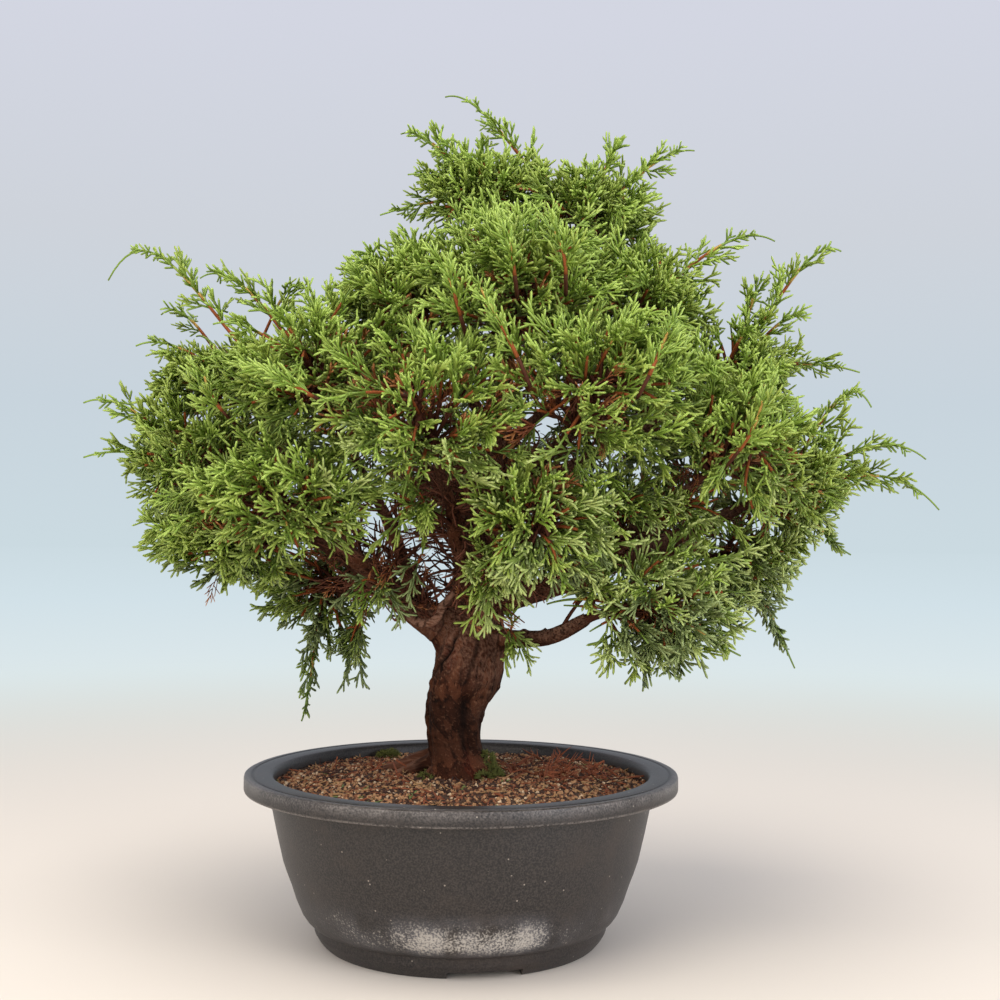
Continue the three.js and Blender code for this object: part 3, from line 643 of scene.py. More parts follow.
# %% Dead needles, moss and scraps
def dead_twig(name, length, side_count, seed):
    """A thin bent twig with short needles, lying along X."""
    dice = np.random.default_rng(seed)
    along = np.linspace(0, 1, 5)
    bend = dice.uniform(-0.25, 0.25, 2)
    height = 0.4 + bend[1] * length * 0.3 * along * (1 - along)
    line = np.stack([(along - 0.5) * length, bend[0] * length * along**2, height], 1)
    parts = [tube(line, np.linspace(0.55, 0.22, 5), 4)]
    for i in range(side_count):
        start = line[1 + i % 3] + (line[2 + i % 3] - line[1 + i % 3]) * dice.uniform(0, 1)
        turn = (0.7 if i % 2 else -0.7) + dice.uniform(-0.2, 0.2)
        reach = dice.uniform(0.2, 0.34) * length
        end = start + reach * np.array([math.cos(turn), math.sin(turn), dice.uniform(-0.1, 0.5)])
        parts.append(tube(np.stack([start, (start + end) / 2, end]), [0.42, 0.36, 0.12], 3))
    return make_object(name, *join_parts(parts), [], origin=0)


def soft_tuft(name, blades, length, seed):
    """A tuft of short blades that stands along Z."""
    dice = np.random.default_rng(seed)
    parts = []
    for i in range(blades):
        turn, lean = i * 2.4 + dice.uniform(0, 1), dice.uniform(0.2, 0.9)
        way = np.array([math.sin(lean) * math.cos(turn), math.sin(lean) * math.sin(turn), math.cos(lean)])
        tip = length * dice.uniform(0.7, 1) * way
        parts.append(tube(np.stack([tip * -0.2, tip * 0.5, tip]), [0.28, 0.26, 0.06], 3))
    return make_object(name, *join_parts(parts), [], origin=0)


def mound(name, centre, wide, tall):
    """A low dome that a clump of moss grows on."""
    shape = bmesh.new()
    bmesh.ops.create_icosphere(shape, subdivisions=3, radius=1)
    for vert in shape.verts:
        vert.co = [centre[0] + vert.co.x * wide, centre[1] + vert.co.y * wide, centre[2] + vert.co.z * tall]
        vert.co = vert.co * MM + Vector(AXIS)
    mesh = bpy.data.meshes.new(name)
    shape.to_mesh(mesh)
    shape.free()
    return bpy.data.objects.new(name, mesh)


needle_brown, *_ = start_material("dead_needles_rust", "#87492C", 0.9)
needle_dark, *_ = start_material("dead_twigs_dark", "#3E231A", 0.9)
needle_straw, *_ = start_material("dead_needles_straw", "#A27C52", 0.85)
scrap_green, *_ = start_material("juniper_scrap_green", "#6F8245", 0.7)
moss_green, *_ = start_material("moss_leaf_damp", "#5C5F27", 0.9)
soil_right = soil_patch("soil_right", lambda x, y: math.hypot((x - 64) / 50, (y - 22) / 46) < 1)
soil_left = soil_patch("soil_left", lambda x, y: math.hypot((x + 62) / 40, (y - 10) / 40) < 1)
DEBRIS = {  # ground, material, length, side twigs, how many to a square metre, smallest, largest, lean
    "dead_needles_all_over": (soil_top, needle_brown, 11, 4, 4200.0, 0.7, 1.5, 0.3),
    "dead_sprays_right": (soil_right, needle_brown, 30, 8, 6400.0, 0.6, 1.3, 0.6),
    "dead_sprays_left": (soil_left, needle_brown, 28, 6, 4200.0, 0.6, 1.3, 0.6),
    "dead_twigs": (soil_top, needle_dark, 24, 2, 1500.0, 0.6, 1.4, 0.35),
    "dead_needles_straw": (soil_top, needle_straw, 13, 2, 2300.0, 0.6, 1.6, 0.35),
    "green_scraps": (soil_top, scrap_green, 9, 5, 420.0, 0.8, 1.4, 0.3),
}
MOSS = [  # centre, half width, height
    ((18, -6, 112), 4.6, 17), ((22, -10, 110), 6, 8), ((15, -17, 110), 5, 5), ((-23, -10, 110), 5, 4),
    ((-60, 104, 107), 8, 4),
]
for seed, (name, (ground, material, length, side_twigs, *numbers)) in enumerate(DEBRIS.items()):
    twig = dead_twig("twig_shape", length, side_twigs, 20 + seed)
    scatter(name, ground, twig, material, *numbers, 30 + seed)
    bpy.data.objects.remove(twig)
tuft = soft_tuft("tuft_shape", 7, 3.4, 3)
for i, (centre, wide, tall) in enumerate(MOSS):
    clump = mound("mound", centre, wide, tall)
    scatter(f"moss_clump_{i + 1}", clump, tuft, moss_green, 330000.0, 0.6, 1.4, 0.8, 50 + i)
bpy.data.objects.remove(tuft)

# %% [markdown]
# ## Limbs
# The trunk swells and leans through a double curve and throws its boughs out from a wide fork. As in the
# CAD source, each limb is worked out from a few named sizes: the trunk is a smooth curve through stations,
# and a bough leaves its parent at a share of its length, with a slope at either end, and stops where it
# enters its mass of foliage. The lines are kept, because the foliage and the bark both ask for them. A
# bough's end depends on its mass, so the table of the masses comes first.

# %% Table of foliage masses
MASSES = {  # centre, half sizes, tips of leaders with how far each droops (and first lifts) for its length
    "apex": ((10, 0, 519), (40, 44, 34), [(-47, -4, 562, 0.1), (-42, 0, 534, 0.05), (-61, -4, 504, 0.1)]),
    "crown_right": (
        (89, 8, 505), (48, 48, 33), [(162, 4, 554, 0.04), (111, -4, 562, -0.05), (-16, 0, 590, 0.08, -0.08)],
    ),
    "shoulder_left": ((-35, -40, 434), (52, 58, 35), []),
    "shoulder_front": ((36, -74, 440), (58, 52, 52), []),
    "shoulder_right": ((121, -16, 434), (49, 58, 44), [(219, 2, 489, 0.13)]),
    "shoulder_back": ((42, 82, 452), (72, 56, 56), [(-10, 120, 512, 0.1)]),
    "left_high": (
        (-162, 4, 386), (50, 48, 28), [(-228, -18, 408, 0.15), (-217, 6, 434, 0.2), (-114, -4, 451, 0.2)],
    ),
    "left_front": ((-96, -84, 384), (60, 58, 44), [(-253, 0, 457, 0.38, -0.24), (-188, 0, 459, 0.08)]),
    "front": ((-22, -122, 350), (60, 50, 44), []),
    "right_front": ((84, -118, 366), (60, 54, 48), [(120, -150, 402, 0.1)]),
    "right_high": (
        (195, 6, 396), (34, 44, 28),
        [(266, 2, 482, 0.12), (212, 0, 461, 0.05), (242, 4, 438, 0.05), (277, -6, 395, 0.1)],
    ),
    "right_mid": ((180, -78, 338), (52, 52, 50), []),
    "back_left": ((-84, 96, 388), (68, 60, 48), [(-120, 150, 432, 0.1)]),
    "back_right": ((116, 108, 388), (70, 60, 50), [(150, 160, 436, 0.1)]),
    "left_far": ((-186, -14, 325), (50, 56, 43), [(-266, -8, 331, 0.1), (-263, -20, 368, 0.12)]),
    "left_low": ((-118, -96, 298), (60, 50, 36), []),
    "left_skirt": ((-155, -52, 270), (47, 46, 24), [(-218, -40, 272, 0.12)]),
    "left_hanging": ((-112, 62, 241), (52, 50, 37), [(-119, 44, 142, 0.1), (-80, 38, 186, 0.1)]),
    "front_low": ((48, -106, 284), (44, 36, 40), []),
    "right_low": ((127, -66, 230), (60, 54, 42), [(150, -70, 190, 0.1)]),
    "right_far": (
        (226, -8, 312), (41, 54, 35),
        [(333, -4, 299, 0.34), (322, -10, 334, 0.24), (284, -10, 370, 0.42), (270, -8, 267, 0.1)],
    ),
    "right_hanging": ((201, 8, 266), (36, 50, 36), [(233, 2, 187, 0.28)]),
    "back_low": ((8, 146, 322), (68, 50, 44), []),
    "back_right_low": ((128, 118, 282), (64, 52, 42), [(176, 168, 262, 0.1)]),
    "left_back": ((-160, 80, 322), (60, 54, 46), [(-212, 118, 336, 0.1)]),
    "right_back": ((202, 92, 346), (48, 54, 40), [(262, 128, 380, 0.1)]),
}
NAMES = list(MASSES)
CENTRES = np.array([MASSES[name][0] for name in NAMES], float)
HALVES = np.array([MASSES[name][1] for name in NAMES], float)


def reach_in(places, index):
    """Distance of places from a mass's centre, with 1 at the edge of its space."""
    return np.linalg.norm((places - CENTRES[index]) / HALVES[index], axis=-1)


def all_reaches(places):
    return np.linalg.norm((places[..., None, :] - CENTRES) / HALVES, axis=-1)


def crown_field(reaches):
    """How deep places lie in the crown as a whole. Each mass adds to it, which bridges the gaps between."""
    return np.exp(-0.9 * reaches**2).sum(-1)


print(len(NAMES), "masses")

# %% Trunk and bough lines
TRUNK_FOOT = 111.8  # height of the trunk's lowest station
TRUNK_STATIONS = np.array([
    (0, -1, 0, 22), (9, -3.5, 0, 19), (24, -6, 0, 18.2), (40, -6.5, 0, 19.4), (56, -4, 0, 22),
    (72, 2.4, 0, 24.6), (90, 6, 2, 25), (108, 6, 5, 22), (130, 7, 8, 15.5), (165, 12, 10, 12.5),
    (205, 19, 9, 10.5), (262, 24, 6, 8), (325, 28, 4, 6), (382, 22, 1, 4.2),
])  # height over the foot, x, y, radius
BOUGH_END = 0.86  # where a bough stops, with 1 at the edge of its mass's space
LIMB_STEP = 3
SLOPE_PULL, TAPER_POWER = 0.38, 0.8
BOUGHS = {  # parent, share of its length, mass, slopes at both ends, radii at both ends
    "bough_left": ("trunk", 0.244, "left_far", 28, 22, 12, 4.4),
    "bough_right": ("trunk", 0.312, "right_far", 10, 26, 9.5, 4),
    "bough_right_low": ("trunk", 0.262, "right_low", -16, 30, 7.6, 4.2),
    "bough_front_low": ("trunk", 0.27, "front_low", 30, 62, 5.5, 3),
    "bough_front": ("trunk", 0.34, "front", 40, 38, 7, 3.5),
    "bough_back_low": ("trunk", 0.3, "back_low", 22, 36, 7, 3.5),
    "bough_right_front": ("trunk", 0.42, "right_front", 34, 30, 6, 3.2),
    "bough_back_left": ("trunk", 0.44, "back_left", 30, 30, 6.5, 3.2),
    "bough_back_right": ("trunk", 0.48, "back_right", 26, 30, 6.2, 3.2),
    "bough_right_high": ("trunk", 0.5, "right_high", 24, 34, 6, 3),
    "bough_shoulder_left": ("trunk", 0.63, "shoulder_left", 34, 46, 4.6, 2.8),
    "bough_shoulder_right": ("trunk", 0.6, "shoulder_right", 26, 38, 4.6, 2.8),
    "bough_shoulder_front": ("trunk", 0.66, "shoulder_front", 20, 34, 4.2, 2.6),
    "bough_shoulder_back": ("trunk", 0.69, "shoulder_back", 24, 36, 4.2, 2.6),
    "bough_crown_right": ("trunk", 0.83, "crown_right", 26, 30, 3.4, 2.4),
    "bough_left_hanging": ("bough_left", 0.3, "left_hanging", 4, -12, 5, 3),
    "bough_left_low": ("bough_left", 0.36, "left_low", 40, 10, 5.4, 3),
    "bough_left_front": ("bough_left", 0.24, "left_front", 66, 50, 5, 3),
    "bough_left_skirt": ("bough_left", 0.7, "left_skirt", -4, -30, 4, 2.8),
    "bough_left_high": ("bough_left", 0.56, "left_high", 62, 56, 5.6, 3),
    "bough_right_mid": ("bough_right", 0.4, "right_mid", 40, 32, 5, 3),
    "bough_right_hanging": ("bough_right", 0.62, "right_hanging", 0, -24, 4.2, 2.8),
    "bough_back_right_low": ("bough_right", 0.26, "back_right_low", 20, 14, 5.2, 3),
    "bough_left_back": ("bough_left", 0.44, "left_back", 24, 30, 5, 3),
    "bough_right_back": ("bough_right", 0.5, "right_back", 30, 34, 4.6, 3),
}


def even_line(points, count):
    """The same line with count points at even steps of its length."""
    steps = np.linalg.norm(np.diff(points, axis=0), axis=1)
    travelled = np.concatenate([[0], np.cumsum(steps)])
    wanted = np.linspace(0, travelled[-1], count)
    return np.stack([np.interp(wanted, travelled, points[:, k]) for k in range(3)], 1)


def smooth_through(knots, per_span=24):
    """A centripetal Catmull-Rom curve through all the knots."""
    knots = np.vstack([2 * knots[0] - knots[1], knots, 2 * knots[-1] - knots[-2]])
    t = np.linspace(0, 1, per_span, endpoint=False)[:, None]
    spans = []
    for p0, p1, p2, p3 in zip(knots, knots[1:], knots[2:], knots[3:]):
        d0, d1, d2 = (math.sqrt(np.linalg.norm(b - a)) for a, b in ((p0, p1), (p1, p2), (p2, p3)))
        m1 = ((p1 - p0) / d0 - (p2 - p0) / (d0 + d1) + (p2 - p1) / d1) * d1
        m2 = ((p2 - p1) / d1 - (p3 - p1) / (d1 + d2) + (p3 - p2) / d2) * d1
        spans.append(p1 + m1 * t + (3 * (p2 - p1) - 2 * m1 - m2) * t**2 + (2 * (p1 - p2) + m1 + m2) * t**3)
    return np.vstack([*spans, knots[-2:-1]])


def bezier(*handles, count=40):
    """Points on the Bezier curve with three or four handles."""
    t = np.linspace(0, 1, count)[:, None]
    points = [np.asarray(handle, float) + 0 * t for handle in handles]
    while len(points) > 1:
        points = [a + (b - a) * t for a, b in zip(points, points[1:])]
    return points[0]


def slope_to(start, end, slope):
    level = unit((end - start) * [1, 1, 0])
    return level * math.cos(math.radians(slope)) + np.array([0, 0, math.sin(math.radians(slope))])


trunk_line = even_line(smooth_through(TRUNK_STATIONS[:, [1, 2, 0]] + [0, 0, TRUNK_FOOT]), 200)
trunk_radii = np.interp(trunk_line[:, 2] - TRUNK_FOOT, TRUNK_STATIONS[:, 0], TRUNK_STATIONS[:, 3])
LIMBS = {"trunk": (trunk_line, trunk_radii)}
LIMB_OF = {"apex": "trunk"}
for name, (parent, share, mass, leave, arrive, butt, tip) in BOUGHS.items():
    parent_line = LIMBS[parent][0]
    start = parent_line[round(share * (len(parent_line) - 1))]
    index = NAMES.index(mass)
    end = CENTRES[index] + (start - CENTRES[index]) * BOUGH_END / reach_in(start, index)
    pull = SLOPE_PULL * np.linalg.norm(end - start)
    leaving, arriving = slope_to(start, end, leave), slope_to(start, end, arrive)
    line = bezier(start, start + pull * leaving, end - pull * arriving, end)
    line = even_line(line, max(24, round(np.linalg.norm(end - start) / LIMB_STEP)))
    LIMBS[name] = (line, butt + (tip - butt) * np.linspace(0, 1, len(line)) ** TAPER_POWER)
    LIMB_OF[mass] = name
print(len(LIMBS), "limbs, the longest", round(max(line_length(line) for line, _ in LIMBS.values())), "mm")

# %% [markdown]
# ## One skin of wood
# On the tree the wood of trunk and boughs is one, with a swollen collar where each bough leaves. Separate
# tubes would show a hard seam there. So the limbs are made as closed tubes that run into each other, and a
# voxel remesh fuses them into one skin. Stubs of dead twigs, the surface roots and a curled dead limb before
# the fork are tubes in the same skin.

# %% Fused limbs
VOXEL = 1.4
TRUNK_SIDES, BOUGH_SIDES = 48, 20
TRUNK_LOBES = [(2, 0.012, 0.05), (3, -0.02, 0.045), (5, 0.03, 0.03)]  # count, turn in each millimetre, depth
BOUGH_LOBES = [(2, 0.03, 0.08), (3, -0.05, 0.05)]
COLLAR_REACH, COLLAR_SWELL = 12, 0.55
STUB_STEP = 5  # points of a bough's line
ROOTS = [  # bearing, reach, start height over the soil, radius
    (150, 68, 25, 7.2), (167, 52, 20, 6.2), (158, 44, 29, 5), (205, 26, 14, 7.5), (285, 26, 15, 8),
    (350, 24, 14, 7), (75, 30, 14, 8),
]
CURL = np.array([  # the dead grey limb before the fork
    (-40, -12, 232), (-37, -22, 226), (-28, -33, 219), (-18, -38, 221), (-12, -38, 232), (-5, -36, 240),
], float)


def bumpy_round(line, radii, sides, lobes, seed):
    """Radii for each corner of a tube whose section swells and sinks as it goes up."""
    angle = np.linspace(0, 2 * np.pi, sides, endpoint=False)
    travelled = np.linspace(0, 1, len(line))[:, None] * line_length(line)
    wave = sum(
        depth * np.cos(count * angle + twist * travelled + seed * count) for count, twist, depth in lobes
    )
    return radii[:, None] * (1 + wave)


def wander(line, bend_mm, width_mm, apart, seed):
    """How far a line's points stray to all sides. Bends come about every bend_mm."""
    return np.stack([lattice_noise(line / bend_mm + apart * axis, seed) for axis in range(3)], 1) * width_mm


skins = []
for seed, (name, (line, radii)) in enumerate(LIMBS.items()):
    if name == "trunk":
        line = np.vstack([line[0] - [0, 0, 5], line])
        radii = np.concatenate([radii[:1] * 1.06, radii])
        skins.append(tube(line, bumpy_round(line, radii, TRUNK_SIDES, TRUNK_LOBES, 1), TRUNK_SIDES))
        continue
    parent, share, *_ = BOUGHS[name]
    parent_radii = LIMBS[parent][1]
    parent_radius = np.interp(share, np.linspace(0, 1, len(parent_radii)), parent_radii)
    travelled = np.linspace(0, 1, len(line)) * line_length(line)
    collar = 1 + COLLAR_SWELL * np.exp(-np.maximum(travelled - parent_radius * 0.7, 0) / COLLAR_REACH)
    bent = line + wander(line, 34, 2.6, 9, seed) * np.sin(np.linspace(0, np.pi, len(line)))[:, None]
    skins.append(tube(bent, bumpy_round(line, radii * collar, BOUGH_SIDES, BOUGH_LOBES, seed), BOUGH_SIDES))
    dice = np.random.default_rng(60 + seed)
    for spot in range(8, len(line) - 4, STUB_STEP):  # stubs of twigs that were cut or died
        ahead = unit(line[spot + 1] - line[spot])
        out = unit(np.cross(ahead, dice.normal(0, 1, 3)) + ahead * 0.4)
        stub = bent[spot] + out * np.array([[0], [radii[spot]], [radii[spot] + dice.uniform(0.8, 3.4)]])
        skins.append(tube(stub, np.array([1.9, 1.6, 1.2]) * dice.uniform(0.8, 1.2), 6))
trunk_foot = np.array([*TRUNK_STATIONS[0, 1:3], TRUNK_FOOT])
for bearing, reach, start_height, radius in ROOTS:
    away = np.array([math.cos(math.radians(bearing)), math.sin(math.radians(bearing)), 0])
    leaving = trunk_foot + [0, 0, start_height]
    sinking = trunk_foot + away * 17 + [0, 0, start_height * 0.5]
    level = trunk_foot + away * reach * 0.7 + [0, 0, 2]
    line = bezier(leaving, sinking, level, trunk_foot + away * reach - [0, 0, 4], count=24)
    line += wander(line, 12, 1.6, 5, 77)
    skins.append(tube(line, np.linspace(radius, radius * 0.6, 24), 16))
curl_line = smooth_through(CURL, 8)
skins.append(tube(curl_line, np.linspace(4.2, 2.2, len(curl_line)), 12))
bark = make_object("bark_of_trunk_and_boughs", *join_parts(skins), [])
fuse = bark.modifiers.new("fuse", "REMESH")
fuse.mode, fuse.voxel_size, fuse.use_smooth_shade = "VOXEL", VOXEL * MM, True
soften = bark.modifiers.new("soften", "SMOOTH")
soften.factor, soften.iterations = 0.5, 3
finished_mesh(bark)
print("bark skin", len(bark.data.vertices), "points")

# %% [markdown]
# ## The bark's relief
# Juniper bark is thin and stringy: it splits along the limb, lifts in flakes on the old trunk and shows
# pits where twigs died. An image or a bump could fake it, but the outline would stay smooth. So every point
# of the skin moves along its normal by a relief that is worked out along and around its own limb, and the
# fibres follow every bend. The same directions are kept as an attribute for the colours. Marks that the
# photograph shows on the trunk, such as a hollow, a long crack and a crease, stand at their own places.

# %% Places along and around the limbs
LIMBS_APART = 400  # millimetres of noise between one limb and the next
FIBRE_TWIST = 0.012  # turn of the fibres round the limb for each millimetre

samples = np.vstack([line for line, _ in LIMBS.values()])
sample_radius = np.concatenate([radii for _, radii in LIMBS.values()])
frames = [rings_along(line) for line, _ in LIMBS.values()]
sample_ahead, sample_side, _ = (np.vstack(directions) for directions in zip(*frames))
sample_along = np.concatenate([
    LIMBS_APART * i + np.linspace(0, 1, len(line)) * line_length(line)
    for i, (line, _) in enumerate(LIMBS.values())
])


def nearest_sample(places):
    """For each place, the sample of a limb's line that is closest, counted from the limb's own skin."""
    found = np.zeros(len(places), int)
    for start in range(0, len(places), 2000):
        block = places[start : start + 2000]
        distance = np.linalg.norm(block[:, None] - samples[None], axis=2) - sample_radius
        found[start : start + 2000] = distance.argmin(1)
    return found


skin, outward = np.zeros((2, len(bark.data.vertices) * 3))
bark.data.vertices.foreach_get("co", skin)
bark.data.vertices.foreach_get("normal", outward)
skin = (skin.reshape(-1, 3) - AXIS) / MM
outward = outward.reshape(-1, 3)
near = nearest_sample(skin)
offset = skin - samples[near]
ahead, aside, thick = sample_ahead[near], sample_side[near], sample_radius[near]
angle = np.arctan2((offset * np.cross(ahead, aside)).sum(1), (offset * aside).sum(1))
along = sample_along[near] + (offset * ahead).sum(1)
round_limb = np.stack([np.cos(angle) * thick, np.sin(angle) * thick, along], 1)
twist = round_limb[:, 2] * FIBRE_TWIST
fibres = round_limb.copy()
fibres[:, 0] = round_limb[:, 0] * np.cos(twist) - round_limb[:, 1] * np.sin(twist)
fibres[:, 1] = round_limb[:, 0] * np.sin(twist) + round_limb[:, 1] * np.cos(twist)
lean_side = np.degrees(np.arctan2(offset[:, 1], offset[:, 0]))
up_trunk = skin[:, 2] - TRUNK_FOOT
on_trunk = (near < len(trunk_line)) & (skin[:, 2] < TRUNK_FOOT + 118)
print(on_trunk.sum(), "points on the trunk")

# %% Bark relief
strings = 1 - 2 * np.abs(lattice_noise(fibres / [3.4, 3.4, 24], 5))
fine_strings = lattice_noise(fibres / [1.9, 1.9, 9], 6)
layer = 1.7 * lattice_noise(fibres / [9, 9, 21], 7) + 0.35 * lattice_noise(fibres / [2.8, 2.8, 5], 9)
layer = np.floor(layer) + clip01((layer % 1) * 5)  # bark lies in layers, and each ends in a flaked edge
swells = lattice_noise(fibres / [16, 16, 24], 8)
rough = lattice_noise(skin / [5, 5, 4], 11)
relief = np.clip(thick / 20, 0.12, 1) * (0.12 * strings + 0.14 * fine_strings + 0.75 * layer + 0.9 * swells)


def mark(course, low, high, width, beside=0.0):
    """How strongly points lie on a mark up the trunk. course has (height, bearing) pairs, width is in mm."""
    heights, bearings = zip(*course)
    apart = (lean_side - np.interp(up_trunk, heights, bearings) + 180) % 360 - 180
    apart = np.radians(apart) * thick + beside
    ends = clip01((up_trunk - low) / 8) * clip01((high - up_trunk) / 8)
    return np.exp(-((apart / width) ** 2)) * ends * on_trunk


CRACK = [(14, -160), (53, -160), (70, -150), (87, -122), (104, -110)]
hollow = mark([(16, -60), (60, -74)], 12, 60, 5.4 + 3.4 * rough)
crack = mark(CRACK, 10, 104, 1.7)
seam = mark([(66, -86), (100, -77)], 62, 104, 1.6)
crease = np.exp(-(((up_trunk - 22 - 1.5 * rough) / 1.6) ** 2)) * mark([(0, -98)], -20, 60, 15)
relief += -3.6 * hollow - 2.6 * crack + (1.6 + 1.2 * rough) * mark(CRACK, 10, 104, 2.6, 4.2)
relief += -1.7 * seam - 1.3 * crease + 1.8 * mark([(0, -108)], 26, 74, 7) + 2.0 * mark([(0, -38)], 20, 96, 7)
dice = np.random.default_rng(8)
pits = np.zeros(len(skin))
for _ in range(60):  # pits and knots where twigs died
    bearing, at_height = dice.uniform(-180, 180), dice.uniform(8, 112)
    wide, depth = dice.uniform(1.5, 3.2), dice.choice([-1.5, -1.1, 0.9])
    apart = np.radians((lean_side - bearing + 180) % 360 - 180) * thick
    pit = on_trunk * np.exp(-(apart**2 + (up_trunk - at_height) ** 2) / wide**2)
    relief += depth * pit
    pits = np.maximum(pits, pit * (depth < 0))
# grey is real bleaching on the boughs, the roots and the dead curl, and painted highlight higher up the
# trunk, down its front right and on all upper sides.
grey = 0.5 * clip01((up_trunk - 50) / 45) + 0.5 * mark([(0, -34)], 34, 150, 15)
grey += 0.5 * outward[:, 2] + 0.25 * swells
grey = np.where(on_trunk, grey - 0.2, grey)
grey += 0.4 * clip01((np.hypot(offset[:, 0], offset[:, 1]) - 24) / 8) * (up_trunk < 30)  # the surface roots
grey += np.exp(-((np.linalg.norm(skin[:, None] - curl_line, axis=2).min(1) / 6) ** 2))
# dark is painted shade in the hollow, the crack, the seam, the crease and the pits, and a painted shadow of
# the crown on the lower trunk; the noise adds random darker patches.
dark = np.maximum.reduce([0.9 * hollow, crack, 0.7 * seam, 0.7 * crease, -0.7 * rough - 0.2])
dark = np.maximum(dark, 1.3 * pits - 0.4)
dark = np.maximum(dark, 0.5 * on_trunk * clip01((72 - up_trunk) / 34) * clip01((up_trunk - 4) / 14))
skin += outward * relief[:, None]
bark.data.vertices.foreach_set("co", (skin * MM + AXIS).ravel())
along_fibres = bark.data.attributes.new("grain", "FLOAT_VECTOR", "POINT")
along_fibres.data.foreach_set("vector", (fibres * MM).ravel())
for label, values in (("layer", layer), ("grey", clip01(grey)), ("dark", clip01(dark))):
    share_of_colour = bark.data.attributes.new(label, "FLOAT", "POINT")
    share_of_colour.data.foreach_set("value", values)
bark.data.update()
print("relief from", relief.min().round(2), "to", relief.max().round(2), "mm")

# %% [markdown]
# ## The bark's colours
# Where a layer of old bark has come away the skin below is smooth and red-brown; layers that still hold
# are duller. The pale grey is partly real bleaching, on the boughs, the roots and the dead curl, and partly
# painted highlight, on upper sides, higher up the trunk and down its front right. Hollows, cracks, pits
# and the crease are painted nearly black, a painted shade, and the lower trunk is darkened by a painted
# shadow of the crown, over a few random darker patches. The relief's own layers are kept as an attribute,
# so colour and relief agree, and a noise that is squeezed across the fibres and long along them adds
# strings about 3 mm wide. Bark this rough shades its own gloss away, so the share of light it throws back
# as gloss is set low: that keeps the dark trunk from looking misted.

# %% Bark material
CRUMB_MM, GLOSS_SHARE = 1.8, 0.1
BARK_STREAKS = {"strings": (3.2, 3, 4.0), "plates": (11, 2, 6.0)}  # mm wide, how many times as long, detail
FRESH_DARK, FRESH_LIGHT, OLD_DARK, OLD_LIGHT = "#2B1009", "#5A2818", "#25110A", "#4B2A1B"
# The pale grey here is bleached bark and painted highlight; the near-black is painted shade with a few random
# dark patches.
PLATE, FLECK, BLEACHED_AND_LIT, SPLIT, SHADE_AND_DARK_PATCHES = "#6E422D", "#8A6048", "#876453", "#1C0F0A", "#0E0806"

bark_skin, tree, shader = start_material("juniper_bark_flaking", "#5B3323", 0.9)
shader.inputs["Specular IOR Level"].default_value = GLOSS_SHARE
on_bark = add_node(tree, "ShaderNodeAttribute", attribute_name="grain").outputs["Vector"]
layers, bleach_and_highlight_share, shade_and_patch_share = (
    add_node(tree, "ShaderNodeAttribute", attribute_name=label).outputs["Fac"]
    for label in ("layer", "grey", "dark")
)
streaks = {}
for label, (wide, times, detail) in BARK_STREAKS.items():
    scale = (1000 / wide, 1000 / wide, 1000 / (wide * times))
    drawn_out = add_node(tree, "ShaderNodeMapping", {"Vector": on_bark, "Scale": scale}, vector_type="POINT")
    fine = {"Vector": drawn_out.outputs[0], "Scale": 1.0, "Detail": detail}
    streaks[label] = add_node(tree, "ShaderNodeTexNoise", fine).outputs["Fac"]
fine = {"Vector": on_bark, "Scale": 1000 / CRUMB_MM, "Detail": 3.0}
crumbs = add_node(tree, "ShaderNodeTexNoise", fine).outputs["Fac"]
fresh_bark = lay_coats(tree, FRESH_DARK, [(streaks["strings"], FRESH_LIGHT)])
old_bark = lay_coats(tree, OLD_DARK, [(streaks["strings"], OLD_LIGHT)])
bark_colour = lay_coats(tree, fresh_bark, [
    (mask_from(tree, (layers, -1.2, 0.2)), old_bark),
    (mask_from(tree, (streaks["plates"], 0.5, 0.56), 0.5), PLATE),
    (mask_from(tree, (streaks["plates"], 0.47, 0.49), (streaks["plates"], 0.51, 0.495), 0.6), SPLIT),
    (mask_from(tree, (crumbs, 0.56, 0.68), 0.4), FLECK),
    # Pale grey: bleached bark, and painted highlight on upper sides and up the trunk.
    (mask_from(tree, bleach_and_highlight_share, (crumbs, 0.3, 0.6)), BLEACHED_AND_LIT),
    (mask_from(tree, (streaks["strings"], 0.34, 0.3)), SPLIT),
    # Near black: painted shade in recesses, a painted shadow on the lower trunk, and random dark patches.
    (shade_and_patch_share, SHADE_AND_DARK_PATCHES),
])
tree.links.new(bark_colour, shader.inputs["Base Color"])
heights = add_node(tree, "ShaderNodeMath", {0: streaks["strings"], 1: crumbs}, operation="ADD").outputs[0]
bump = add_node(tree, "ShaderNodeBump", {"Height": heights, "Strength": 0.9, "Distance": 0.0016})
tree.links.new(bump.outputs[0], shader.inputs["Normal"])
bark.data.materials.append(bark_skin)
dress(bark, "bark", *LIMBS)

# %% [markdown]
# ## How the foliage grows
# The rule is the CAD's: a stem runs on from the bough's tip into the space of its mass, branches leave it
# for points spread over that space by the golden turn, and each is feathered with sprays by turns on its
# sides and ends in a fan. Here every spray is made of single cord-like shoots, the branches carry on until
# they meet the next mass's, and the long leaders thin out to a bare green thread. Geometry nodes could
# place the sprays as rigid copies, but these are worked out in arrays, because each spray also bends up or
# hangs, and has to keep off the limbs and, but for the leaders, inside its own mass's space.

# %% Kinds of spray
SHOOT_RADIUS = 0.94
SHOOT_SHOULDER = 0.84  # where along a shoot its blunt tip begins
LARGE, MEDIUM, SMALL, DEAD = range(4)
SPRAY_LENGTHS = np.array([32, 22, 11, 26])


